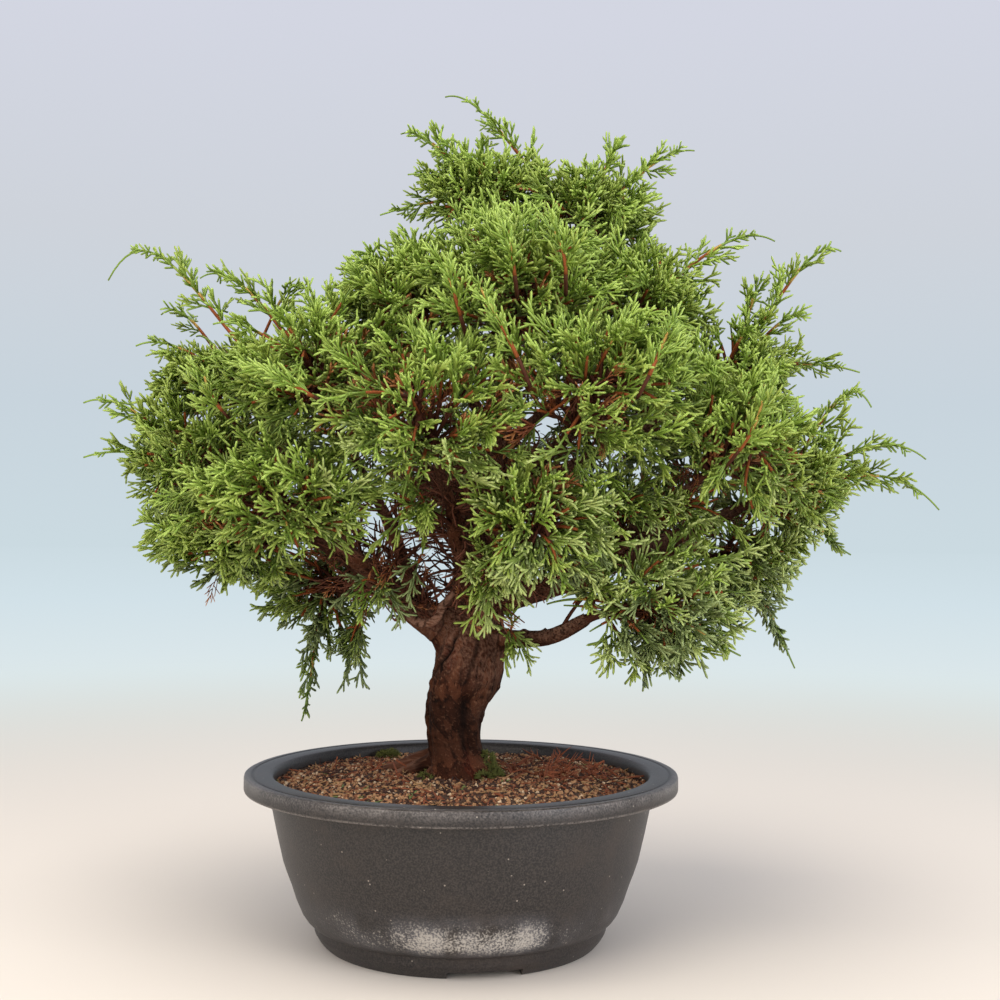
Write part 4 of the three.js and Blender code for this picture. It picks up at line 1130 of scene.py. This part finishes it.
def spray_shoots(dice, length, laterals, fingers, thick=1.0):
    """Start, end, radius and youth of each shoot of a spray that grows along X and is widest in Y."""
    sway, lift = dice.uniform(-0.09, 0.09) * length, dice.uniform(-0.06, 0.06) * length

    def spine(t):
        return np.array([length * t, sway * t * t, lift * math.sin(3 * t)])

    knots = np.linspace(0, 1, round(length / 11) + 1)
    shoots = [
        (spine(a), spine(b), SHOOT_RADIUS * (1.04 - 0.1 * a), a > 0.6) for a, b in zip(knots, knots[1:])
    ]
    for i in range(laterals):
        t = 0.1 + 0.82 * (i + dice.uniform(-0.2, 0.2)) / laterals
        opening = math.radians(dice.uniform(38, 54) - 14 * t)
        roll = dice.normal(0, 0.5)
        out = np.array([0, math.cos(roll) if i % 2 else -math.cos(roll), math.sin(roll)])
        heading = np.array([math.cos(opening), 0, 0]) + math.sin(opening) * out
        reach = (0.23 * length + 5.6) * math.sin(math.pi * (0.34 + 0.5 * t)) * dice.uniform(0.8, 1.2)
        root = spine(t)
        shoots.append((root, root + heading * reach, SHOOT_RADIUS, t > 0.55))
        for j in range(fingers):
            base = root + heading * reach * (0.3 + 0.3 * j + dice.uniform(-0.06, 0.06))
            turn = math.radians(dice.uniform(26, 44)) * (1 if j % 2 else -1)
            level = unit(np.cross(heading, np.cross(out, [1, 0, 0])))
            aside = math.cos(turn) * heading + math.sin(turn) * level
            aside = unit(aside + [0.2, 0, dice.uniform(-0.35, 0.35)])
            shoots.append((base, base + aside * dice.uniform(6, 10.5), SHOOT_RADIUS * 0.92, t > 0.3))
    starts, ends, radii, youth = (np.array(column) for column in zip(*shoots))
    return starts, ends, radii * thick, youth


def shoot_mesh(starts, ends, radii, youth):
    """Seven points and ten triangles for each shoot: a three-sided cord with a short blunt tip."""
    ahead = unit(ends - starts)
    side = unit(np.cross(ahead, np.where(np.abs(ahead[:, 2:]) > 0.8, [1.0, 0, 0], [0, 0, 1.0])))
    over = np.cross(ahead, side)
    turns = np.array([0, 2 * np.pi / 3, 4 * np.pi / 3])
    spokes = np.cos(turns)[None, :, None] * side[:, None] + np.sin(turns)[None, :, None] * over[:, None]
    shoulder = starts + (ends - starts) * SHOOT_SHOULDER
    low = starts[:, None] + spokes * radii[:, None, None] * 0.94
    high = shoulder[:, None] + spokes * radii[:, None, None]
    points = np.concatenate([low, high, ends[:, None]], 1).reshape(-1, 3)
    one = [(2, 1, 0)]
    for i in range(3):
        j = (i + 1) % 3
        one += [(i, j, 3 + j), (i, 3 + j, 3 + i)]
    one += [(3, 4, 6), (4, 5, 6), (5, 3, 6)]
    faces = (np.array(one)[None] + 7 * np.arange(len(starts))[:, None, None]).reshape(-1, 3)
    tip_faces = np.tile([0] * 7 + [1] * 3, len(starts))
    return points, faces, np.maximum(tip_faces, np.repeat(youth, 10))


dice = np.random.default_rng(3)
SHAPES = [
    [shoot_mesh(*spray_shoots(dice, SPRAY_LENGTHS[kind], *sizes)) for _ in range(count)]
    for kind, count, *sizes in ((LARGE, 12, 6, 2), (MEDIUM, 10, 5, 1), (SMALL, 8, 4, 0), (DEAD, 5, 6, 1, 0.5))
]
print("triangles in a spray of each kind:", [len(shapes[0][1]) for shapes in SHAPES])

# %% [markdown]
# ## Room for the foliage
# A place belongs to the mass whose centre is nearest, measured in that mass's own half sizes, as long as
# it isn't too far out of the crown as a whole. The photograph shows sky through some places, so they are
# kept free: a gap over the low right bough, the place before the fork, where little but bare twigs stands,
# and ten small windows, each a cone from the camera through the crown.

# %% Room for the foliage
MOST_REACH, CROWN_EDGE, SEAM_OVERLAP = 1.6, 0.4, 0.4
SKY_GAP = np.array([(70, -20, 226), (32, 90, 16)])  # centre and half sizes
FORK_GAP = np.array([(-20, -64, 275), (42, 92, 32)])
SKY_WINDOWS = np.array([  # x, height, half width and half height on the upright plane through the pot's axis
    (185, 412, 8, 12), (-142, 423, 10, 9), (-180, 420, 13, 9), (-16, 260, 9, 8), (-38, 262, 6, 6),
    (-51, 290, 6, 5), (-120, 265, 6, 5), (-182, 262, 8, 5), (52, 358, 10, 11), (239, 342, 6, 6),
])
EYE = np.array(CAMERA_FROM_AXIS, float)


def own_space(places, index):
    reaches = all_reaches(places)
    own = reaches[..., index]
    return (own < MOST_REACH) & (own <= reaches.min(-1)) & (crown_field(reaches) > CROWN_EDGE)


def in_gap(places, gap):
    return np.linalg.norm((places - gap[0]) / gap[1], axis=-1) < 1


def in_window(places):
    """Whether places stand in line with a sky window, as the camera sees it."""
    from_eye = places - EYE
    seen = EYE[[0, 2]] - from_eye[..., [0, 2]] / from_eye[..., 1:2] * EYE[1]
    aside = (seen[..., None, :] - SKY_WINDOWS[:, :2]) / SKY_WINDOWS[:, 2:]
    return (np.linalg.norm(aside, axis=-1) < 1).any(-1)


def crown_face(x, z):
    """Where the line of sight to a place on the upright plane through the pot's axis enters the crown."""
    sight = EYE + (np.array([x, 0, z]) - EYE) * np.linspace(0.75, 1.1, 240)[:, None]
    return sight[(crown_field(all_reaches(sight)) > CROWN_EDGE).argmax()]


print(len(SKY_WINDOWS), "sky windows")

# %% [markdown]
# ## Branches, leaders and bare twigs
# Sprays and twigs are first only listed, each spray with its root, heading, kind and age, so that the ones
# that don't fit can be left out before any mesh is made. Branches fill a mass, a leader stands out of it, a
# cluster fills a small space beside a bough, and a bare twig has lost its green.

# %% Sprays and twigs are listed
OLD_WOOD, RED_WOOD, STRAW_WOOD, BARE_WOOD = range(4)
GOLDEN_TURN = math.pi * (3 - math.sqrt(5))
sprays = {key: [] for key in ("root", "ahead", "roll", "scale", "mass", "kind", "bend", "young", "free")}
twigs = {"line": [], "radii": [], "age": []}
threads = []


def add_spray(root, ahead, dice, index, kind, scale, bend=0.0, young=0.0, free=False):
    roll = dice.uniform(0, 2 * np.pi)
    for key, value in zip(sprays, (root, unit(ahead), roll, scale, index, kind, bend, young, free)):
        sprays[key].append(value)


def add_twig(line, butt, tip, age):
    twigs["line"].append(line)
    twigs["radii"].append(np.linspace(butt, tip, len(line)))
    twigs["age"].append(age)


def golden_way(i, count, first_turn):
    """The i-th of count directions that the golden turn spreads evenly over a ball."""
    rise = 1 - 2 * (i + 0.5) / count
    turn = i * GOLDEN_TURN + first_turn
    level = math.sqrt(1 - rise * rise)
    return np.array([math.cos(turn) * level, math.sin(turn) * level, rise])


def place_on(line, share):
    """The point at a share of a line and the heading there."""
    spot = min(share, 0.999) * (len(line) - 1)
    step = line[int(spot) + 1] - line[int(spot)]
    return line[int(spot)] + step * (spot % 1), unit(step)


def aside_from(ahead, turn, opening):
    """A heading that opens away from ahead, at a turn about it."""
    side = unit(np.cross(ahead, [0, 0, 1] if abs(ahead[2]) < 0.9 else [1, 0, 0]))
    out = side * math.cos(turn) + np.cross(ahead, side) * math.sin(turn)
    return ahead * math.cos(opening) + out * math.sin(opening)


# %% What grows
BRANCH_SHARE, LEADER_SHARE = 0.32, 0.1  # where along it the first spray stands
BRANCH_LEAFY, LEADER_LEAFY = 0.64, 0.76  # the share of it that carries sprays
SPRAY_STEP, LEADER_STEP = 7.0, 5.5
BARE_DEPTH = 0.42  # nearer to the mass's centre than this, only bare twigs grow
CROWN_CORE = np.array([10, 0, 320])
LOWEST_BARE_TWIG = 222


def grow_bare_twig(root, heading, length, dice, butt=0.6):
    """A leafless twig that winds and carries three short side twigs."""
    steps = unit(unit(heading) + np.cumsum(dice.normal(0, 0.3, (7, 3)), axis=0)) * length / 7
    line = np.vstack([root, root + np.cumsum(steps, axis=0)])
    if in_gap(line, SKY_GAP).any() or line[-1, 2] < LOWEST_BARE_TWIG and abs(line[-1, 0]) < 90:
        return
    add_twig(line, butt, butt * 0.45, BARE_WOOD)
    if dice.uniform() < 0.3:
        nearest_mass = int(all_reaches(line[-1]).argmin())
        add_spray(line[-1], steps[-1], dice, nearest_mass, DEAD, dice.uniform(0.4, 0.8))
    for joint in (2, 4, 5):
        side = unit(unit(steps[joint]) + dice.normal(0, 0.7, 3)) * length * dice.uniform(0.2, 0.42)
        bend = dice.normal(0, 0.16, 3) * np.linalg.norm(side)
        side_line = bezier(line[joint], line[joint] + side * 0.5 + bend, line[joint] + side, count=4)
        add_twig(side_line, butt * 0.7, butt * 0.35, BARE_WOOD)


def grow_branch(index, stem, goal, dice, hang):
    """A branch from the stem to its goal, with sprays by turns on its sides and a fan of three at its end."""
    leaving = stem[dice.integers(2, len(stem))]
    length = np.linalg.norm(goal - leaving)
    middle = (leaving + goal) / 2 + [0, 0, 0.1 * length] + dice.normal(0, 0.05 * length, 3)
    line = bezier(leaving, middle, goal, count=10)
    if not own_space(line[4:], index).all():
        return
    add_twig(line[:5], 1.5, 1.15, OLD_WOOD)
    add_twig(line[4:8], 1.15, 0.85, OLD_WOOD if reach_in(goal, index) < 0.7 else RED_WOOD)
    threads.append((line[7:], np.linspace(0.85, 0.6, 3), index, "green"))
    plane = dice.uniform(0, 2 * np.pi)
    steps = max(3, int(0.66 * length / SPRAY_STEP))
    for i in range(steps):
        share = BRANCH_SHARE + BRANCH_LEAFY * i / steps
        root, ahead = place_on(line, share)
        turn = plane + i * math.pi + dice.normal(0, 0.6)
        heading = aside_from(ahead, turn, math.radians(dice.uniform(36, 54)))
        depth = reach_in(root + heading * 14, index)
        if depth < BARE_DEPTH:
            grow_bare_twig(root, heading, dice.uniform(12, 26), dice, 0.5)
            if dice.uniform() < 0.4:
                add_spray(root, heading, dice, index, DEAD, dice.uniform(0.7, 1))
            continue
        kind = LARGE if share < 0.8 and depth > 0.55 else MEDIUM
        upright = 0.3 * unit(root - CROWN_CORE) + [0, 0, hang * 0.2]
        scale = dice.uniform(0.8, 1.1)
        add_spray(root, heading + upright, dice, index, kind, scale, hang * dice.uniform(0.1, 1))
    ahead = unit(line[-1] - line[-2])
    for i, (kind, opening) in enumerate(((LARGE, 6), (MEDIUM, 30), (MEDIUM, 30))):
        heading = aside_from(ahead, plane + i * math.pi, math.radians(opening))
        scale = dice.uniform(0.85, 1.1)
        add_spray(line[-1] - ahead * 2, heading, dice, index, kind, scale, hang * dice.uniform(0.2, 1), 0.1)


def grow_leader(index, leaving, tip, dice, hang=1.0, droop=0.1, lift=0.12):
    """A long shoot out of the crown: sprays by turns, shorter and shorter, then a bare green thread."""
    length = np.linalg.norm(tip - leaving)
    outward = (tip - leaving) * [1, 1, 0] / length
    rising = (tip - leaving)[2] > -0.3 * length
    arch = tip - outward * 0.28 * length + [0, 0, droop * length]
    line = bezier(leaving, leaving + (tip - leaving) * 0.35 + [0, 0, lift * length], arch, tip, count=31)
    add_twig(line[:9], 1.5, 1.3, OLD_WOOD)
    add_twig(line[8:16], 1.3, 1.1, RED_WOOD)
    add_twig(line[15:19], 1.1, 1.0, STRAW_WOOD)
    threads.append((line[17:], np.linspace(1.15, 0.65, 14), index, "fresh" if rising else "green"))
    plane = dice.uniform(-0.6, 0.6)
    steps = int(LEADER_LEAFY * length / LEADER_STEP)
    for i in range(steps):
        share = LEADER_SHARE + LEADER_LEAFY * i / steps
        root, ahead = place_on(line, share)
        turn = plane + (i % 2) * math.pi + dice.normal(0, 0.45)
        heading = aside_from(ahead, turn, math.radians(50 - 20 * share + dice.normal(0, 5)))
        kind = LARGE if share < 0.36 else MEDIUM if share < 0.62 else SMALL
        scale = (0.95, 0.9, 1.65 - 1.1 * share)[kind] * dice.uniform(0.8, 1.15)
        young = (0.25 + 0.75 * share) if rising else 0.31
        add_spray(root, heading, dice, index, kind, scale, 0.3 * hang, young)


def grow_cluster(index, root, centre, half, count, dice, young):
    """A stem whose short shoots fan out over a small space of their own, each ending in sprays."""
    stem = bezier(root, (root + centre) / 2 + [0, -4, 6], centre, count=8)
    add_twig(stem, 1.4, 1.0, OLD_WOOD)
    for i in range(count):
        way = golden_way(i, count, 1.0)
        start = place_on(stem, dice.uniform(0.55, 0.99))[0]
        goal = centre + way * half * dice.uniform(0.5, 0.9)
        line = bezier(start, (start + goal) / 2 + [0, 0, 3], goal, count=5)
        add_twig(line, 0.9, 0.6, RED_WOOD)
        for share, kind, opening in ((0.45, MEDIUM, 50), (0.7, MEDIUM, 45), (0.98, LARGE, 8)):
            spot, ahead = place_on(line, share)
            heading = aside_from(ahead, dice.uniform(0, 2 * np.pi), math.radians(opening)) + [0, 0, -0.25]
            add_spray(spot, heading, dice, index, kind, dice.uniform(0.7, 0.95), -0.5, young, True)


def grow_face_shoot(foot, tip, dice):
    """A shoot on the crown's face that shows its red wood. It starts a little inside the crown."""
    foot, tip = crown_face(*foot) + [0, 3, 0], crown_face(*tip) - [0, 8, 0]
    index = int(all_reaches(foot).argmin())
    sunk = foot + [0, 20, 0] - (tip - foot) * 0.25
    bent = np.cross(unit(tip - foot), [0, 1, 0]) * dice.uniform(-5, 5)
    line = bezier(sunk, foot - [0, 9, 0], (foot + tip) / 2 + [0, -7, 0] + bent, tip, count=16)
    add_twig(line[:6], 1.4, 1.3, OLD_WOOD)
    add_twig(line[5:11], 1.3, 1.1, RED_WOOD)
    add_twig(line[10:], 1.1, 0.75, STRAW_WOOD)
    for i, share in enumerate(np.linspace(0.36, 0.97, 8)):
        root, ahead = place_on(line, share)
        heading = aside_from(ahead, i * math.pi + dice.normal(0, 0.4), math.radians(48 - 30 * share))
        add_spray(root, heading, dice, index, MEDIUM, dice.uniform(0.75, 1.0), 0.3, 0.5 + 0.4 * share)


# %% [markdown]
# ## The crown grows
# Each mass gets its stem, its branches and its leaders. What the photograph shows by itself is added by
# place: dead sprays about the fork, small clusters before it and along the low boughs, and eight shoots
# whose red wood shows on the crown's face. Bare twigs stand along all limbs and are longest about the fork.

# %% The crown grows
BRANCHES = 38
BACK_OF_MASS = -0.72  # no branch heads back this much towards the bough
RISING = 0.8
HANGING = {  # how sprays bend in the masses where they don't rise: below 0 they hang
    "left_hanging": -1.0, "right_hanging": -0.9, "left_skirt": -0.5, "right_low": -0.5, "front_low": -0.3,
    "left_low": -0.2,
}
EXTRA_LEADERS, LEADER_TRIES = 5, 16
DEAD_TUFTS = [  # root, heading and scale
    ((4, -42, 221), (0.7, -0.1, -0.4), 0.55), ((18, -46, 228), (0.8, 0, -0.6), 0.75),
    ((24, -42, 226), (1, -0.1, -0.45), 0.6), ((22, -40, 234), (1, 0, -0.1), 0.6),
    ((-44, -48, 262), (-0.5, -0.2, -0.8), 0.8), ((-58, -46, 268), (-0.2, -0.3, -1), 0.7),
]
CLUSTERS = [  # limb, share of its length, centre, half sizes, shoots, how young
    ("bough_front_low", 0.4, (21, -76, 258), (16, 14, 19), 13, 0.68),
    ("bough_left_front", 0.3, (-26, -56, 262), (6, 7, 9), 2, 0.5),
    ("bough_right_low", 0.12, (34, -38, 214), (6, 7, 10), 3, 0.7),
    ("bough_left", 0.36, (-58, -44, 246), (12, 8, 7), 4, 0.31),
    ("bough_left_hanging", 0.7, (-80, 36, 205), (9, 9, 14), 6, 0.31),
    ("bough_front", 0.5, (-30, -96, 296), (18, 14, 14), 8, 0.75),
    ("bough_right_low", 0.75, (84, -50, 240), (16, 16, 14), 8, 0.6),
    ("bough_right", 0.5, (152, -56, 302), (27, 16, 17), 13, 0.7),
    ("bough_right", 0.38, (110, -66, 302), (22, 14, 15), 9, 0.75),
]
FACE_SHOOTS = [  # x and height of foot and of tip, as SKY_WINDOWS
    ((39, 401), (10, 452)), ((-3, 432), (-14, 466)), ((35, 461), (29, 495)), ((70, 462), (62, 492)),
    ((129, 390), (144, 427)), ((192, 338), (208, 374)), ((-106, 375), (-133, 388)),
    ((-170, 364), (-182, 388)),
]
BARE_STEP, FORK_PLACE, FORK_REACH = 6, np.array([2, 0, 252]), 120

crown_low, crown_high = (np.array(corner) / MM - AXIS / MM for corner in (cad_low, cad_high))
for index, name in enumerate(NAMES):
    dice = np.random.default_rng(100 + index)
    line, radii = LIMBS[LIMB_OF[name]]
    inward = unit(line[-1] - line[-2])
    centre, half = CENTRES[index], HALVES[index]
    stem = bezier(line[-1], line[-1] + inward * 12, line[-1] + (centre - line[-1]) * 0.9, count=9)
    stem = np.vstack([stem, stem[-1] + (stem[-1] - stem[-2]) * [[1.5], [3]]])
    add_twig(np.vstack([line[-3:-1], stem]), radii[-1] * 0.92, 1.5, OLD_WOOD)
    hang = HANGING.get(name, RISING)
    for i in range(BRANCHES):
        way = golden_way(i, BRANCHES, index)
        if way @ inward < BACK_OF_MASS:
            continue
        depth = (0.86, 0.74, 0.9, 0.62)[i % 4] * dice.uniform(0.92, 1.06)
        while i % 4 != 3 and depth < 1.4 and own_space(centre + way * half * (depth + 0.2), index):
            depth += 0.08
        grow_branch(index, stem, centre + way * half * depth, dice, hang)
    for x, y, z, *arch in MASSES[name][2]:
        grow_leader(index, stem[-4], np.array([x, y, z], float), dice, hang, *arch)
    extra = 0
    for _ in range(LEADER_TRIES):
        way = unit(dice.normal(0, 1, 3) + [0, 0, 0.5 * np.sign(hang)])
        tip = centre + way * half * dice.uniform(1.14, 1.3)
        reaches = all_reaches(tip)
        outside = crown_field(reaches) < CROWN_EDGE and np.delete(reaches, index).min() > 1.1
        if extra < EXTRA_LEADERS and outside and (tip > crown_low + 2).all() and (tip < crown_high - 2).all():
            grow_leader(index, stem[dice.integers(4, 9)], tip, dice, hang)
            extra += 1
dice = np.random.default_rng(77)
for root, heading, scale in DEAD_TUFTS:
    add_spray(np.array(root, float), np.array(heading, float), dice, NAMES.index("front_low"), DEAD, scale)
for limb, share, centre, half, count, young in CLUSTERS:
    root, index = place_on(LIMBS[limb][0], share)[0], NAMES.index(BOUGHS[limb][2])
    grow_cluster(index, root, np.array(centre, float), np.array(half, float), count, dice, young)
face_dice = np.random.default_rng(78)
for foot, tip in FACE_SHOOTS:
    grow_face_shoot(foot, tip, face_dice)
for limb, (line, radii) in LIMBS.items():
    first, last = (0.27, 0.8) if limb == "trunk" else (0.12, 0.97)
    for share in np.arange(first, last, BARE_STEP / line_length(line)):
        root, ahead = place_on(line, share)
        near_fork = clip01(1.2 - np.linalg.norm(root - FORK_PLACE) / FORK_REACH)
        heading = aside_from(ahead, dice.uniform(0, 2 * np.pi), math.radians(dice.uniform(40, 85)))
        heading[2] = abs(heading[2]) if dice.uniform() < 0.8 else heading[2]
        thick = np.interp(share, [0, 1], [radii[0], radii[-1]])
        root = root + (heading - ahead * (heading @ ahead)) * thick * 0.8
        for _ in range(1 + int(near_fork * 2.6)):
            tilt = heading + dice.normal(0, 0.25, 3)
            length = dice.uniform(14, 30) + 22 * near_fork
            grow_bare_twig(root, tilt, length, dice, dice.uniform(0.6, 0.9) + 0.5 * near_fork)
print(len(sprays["root"]), "sprays wanted on", len(twigs["line"]), "twigs")

# %% [markdown]
# ## Sprays that fit
# A spray stays where its middle, its tip and both its sides lie in its own mass's space, off the limbs, out
# of the gaps and within a few millimetres of the CAD's box. Leaders may leave the crown, as long as they
# keep off other masses, and dead sprays hang anywhere. Deep inside, where little light comes, more than
# half of the sprays have died.

# %% Keep the sprays that fit
SHADED_LOSS = 0.6  # share of the innermost sprays that have died
LIMB_CLEARANCE, BOX_CLEARANCE = 1.5, 4
PROBES = ((0.5, 0), (1, 0), (0.6, 0.3), (0.6, -0.3))  # shares of a spray's length, ahead and across

sprays = {key: np.array(values) for key, values in sprays.items()}
root, ahead, scale = sprays["root"], sprays["ahead"], sprays["scale"]
helper = np.where(np.abs(ahead[:, 2:]) > 0.9, [1.0, 0, 0], [0, 0, 1.0])
level = unit(np.cross(helper, ahead))
across = level * np.cos(sprays["roll"])[:, None] + np.cross(ahead, level) * np.sin(sprays["roll"])[:, None]
long = (SPRAY_LENGTHS[sprays["kind"]] * scale)[:, None]
probes = np.stack([root + ahead * long * far + across * long * wide for far, wide in PROBES], 1)
reach = all_reaches(probes)
rows = np.arange(len(root))
own = reach[rows, :, sprays["mass"]]
field = crown_field(reach)
reach[rows, :, sprays["mass"]] = 9  # so that the least of them is another mass's
leads, is_dead = sprays["young"] > 0.3, sprays["kind"] == DEAD
fits = ((own <= MOST_REACH) & (field > CROWN_EDGE - 0.02) & (reach.min(2) > own - SEAM_OVERLAP)).all(1)
fits |= leads & (reach.min(2) > 0.9).all(1) | is_dead
off_limbs = np.full(len(root), 1e9)
for start in range(0, len(root), 500):
    block = probes[start : start + 500, :, None] - samples
    off_limbs[start : start + 500] = (np.linalg.norm(block, axis=3) - sample_radius).min((1, 2))
fits &= (off_limbs > LIMB_CLEARANCE) & ~in_gap(probes, SKY_GAP).any(1)
fits &= ~in_gap(probes[:, :2], FORK_GAP).any(1) | is_dead | sprays["free"]
fits &= ~in_window(probes).any(1)
fits &= ((probes > crown_low - BOX_CLEARANCE) & (probes < crown_high + BOX_CLEARANCE)).all((1, 2))
shaded = clip01((field.min(1) - 0.72) / 0.5)
fits &= np.random.default_rng(5).uniform(0, 1, len(root)) > SHADED_LOSS * shaded
print(fits.sum(), "sprays fit,", (~fits).sum(), "left out")

# %% [markdown]
# ## Colours of the foliage
# New growth on this juniper is yellow-green and stands at the top and outside, and older shoots are a clear
# green. The colours are dealt out by spray: each spray goes to one tint by how much sky it sees, how high it
# stands and how far in front, so the lighter tints are partly new growth and partly painted light, and what
# grows low, behind or deep inside gets dark or greyish tints, a painted shade. Each tint is a piece or two
# with two plain colours, the stalks and their lighter tips. Scale leaves have a thin wax, so their gloss is
# that of a waxy leaf.

# %% Leaf tints
# The lighter and darker tints are dealt out by the light a spray gets, so they are partly painted light and
# painted shade; shade is a painted shade.
TINTS = {  # stalk, tip
    "fresh": ("#809A38", "#A0B752"),
    "bright": ("#778F33", "#98AA4B"),
    "green": ("#697F2F", "#8A9B46"),
    "deep": ("#677931", "#869845"),
    "shade": ("#61703D", "#87955C"),
    "olive": ("#7F9342", "#ABB96C"),
    "dead": ("#8A4C2C", "#AE7040"),
}
SCALE_LEAF_MM = 1.3

LEAVES = {}
for name, colours in TINTS.items():
    parts = (("scale_leaf", 0.5), ("shoot_tip", 0.42))
    LEAVES[name] = [
        rough_material(f"juniper_{part}_{name}", colour, roughness, SCALE_LEAF_MM, 0.5, 0.4, ior=1.45)[0]
        for colour, (part, roughness) in zip(colours, parts)
    ]
tips = probes[:, 1]
exposed = clip01((1.0 - field[:, 1]) / 0.55)
high_in_mass = clip01(0.5 + 0.55 * (tips[:, 2] - CENTRES[sprays["mass"], 2]) / HALVES[sprays["mass"], 2])
high_in_crown, in_front = clip01((tips[:, 2] - 200) / 330), clip01(-tips[:, 1] / 110)
dice = np.random.default_rng(12)
# sun paints light: open, high and frontal sprays get lighter tints, shut-in ones darker, a painted shade;
# young leaders are light by their own growth.
sun = 0.4 * exposed + 0.25 * high_in_mass + 0.15 * high_in_crown + 0.2 * in_front
sun = np.maximum(sun + dice.normal(0, 0.09, len(root)), sprays["young"] * 0.95)
tint = np.select([is_dead, sun > 0.78, sun > 0.6, sun > 0.42], ["dead", "fresh", "bright", "green"], "deep")
swap = dice.uniform(0, 1, len(root))
alive, behind = tint != "dead", tips[:, 1] > 40
# Sprays that get little sun, behind or low down, take the shade tint, a painted shade.
tint = np.where(alive & (sun < 0.6) & (behind | (tips[:, 2] < 260)) & (swap < 0.5), "shade", tint)
withered = alive & (shaded > 0.25) & (dice.uniform(0, 1, len(root)) < 0.4)
pale_share = 0.14 + 0.5 * clip01((330 - tips[:, 2]) / 80) * clip01((tips[:, 0] + 40) / 55)
tint = np.where(alive & (tips[:, 2] < 340) & (tips[:, 0] > -90) & (swap > 1 - pale_share), "olive", tint)
# Low on the right, under the crown, more sprays take the shade tint, a painted shade.
low_right = alive & (tips[:, 2] < 236) & (tips[:, 0] > 60) & (swap > 0.58)
tint = np.select([withered, low_right], ["dead", "shade"], tint)
print({str(name): int((fits & (tint == name)).sum()) for name in TINTS})

# %% Build the sprays
FACE_LIMIT = 190000
BEND_AT_TIP = 5.5
for name in TINTS:
    built = [
        (*tube(line, radii, 3), np.zeros(6 * len(line), int), index)
        for line, radii, index, thread_tint in threads if name == thread_tint
    ]
    for i in np.flatnonzero(fits & (tint == name)):
        shapes = SHAPES[sprays["kind"][i]]
        points, faces, kinds = shapes[i % len(shapes)]
        placed = root[i] + points @ np.stack([ahead[i], across[i], np.cross(ahead[i], across[i])]) * scale[i]
        bend = sprays["bend"][i] * BEND_AT_TIP * scale[i]
        placed[:, 2] += bend * (points[:, 0] / SPRAY_LENGTHS[LARGE]) ** 2
        built.append((placed, faces, kinds, sprays["mass"][i]))
    totals = np.cumsum([len(faces) for _, faces, _, _ in built])
    parts = int(totals[-1] // FACE_LIMIT) + 1
    part_of = np.minimum((totals - 1) * parts // totals[-1], parts - 1)
    for part in range(parts):
        members = [built[m] for m in np.flatnonzero(part_of == part)]
        label = f"sprays_{name}" + (f"_{part + 1}" if parts > 1 else "")
        shape = join_parts([(points, faces) for points, faces, _, _ in members])
        piece = make_object(label, *shape, LEAVES[name], np.concatenate([kinds for *_, kinds, _ in members]))
        masses = sorted({mass for *_, mass in members})
        dress(piece, "foliage", *[f"foliage_{NAMES[mass]}" for mass in masses])

# %% [markdown]
# ## Twigs
# A juniper's twigs are dark and rough where they are old, rust red where last year's scales have dropped,
# and straw-coloured just behind the green. Those warm lines show all over the crown. Inside it, where no
# light comes, grey-brown twigs that have lost their green stand in a tangle. The living and the bare ones
# are two pieces.

# %% Build the twigs
TWIG_COLOURS = {
    "juniper_twig_old_bark": "#4C281A", "juniper_twig_red_bark": "#874722", "juniper_twig_straw": "#B08A45",
    "juniper_twig_bare_wood": "#714534",
}
twig_barks = []
for name, colour in TWIG_COLOURS.items():
    young_bark, _, shader, _ = rough_material(name, colour, 0.8, 1.8, 0.6, 0.6)
    shader.inputs["Specular IOR Level"].default_value = 2 * GLOSS_SHARE
    twig_barks.append(young_bark)
for label, bare in (("twigs", False), ("bare_twigs", True)):
    chosen = [i for i, age in enumerate(twigs["age"]) if (age == BARE_WOOD) == bare]
    tubes = [tube(twigs["line"][i], twigs["radii"][i], 3 if bare else 4) for i in chosen]
    ages = np.concatenate([np.full(len(faces), twigs["age"][i]) for (_, faces), i in zip(tubes, chosen)])
    dress(make_object(label, *join_parts(tubes), twig_barks, ages), "bark")
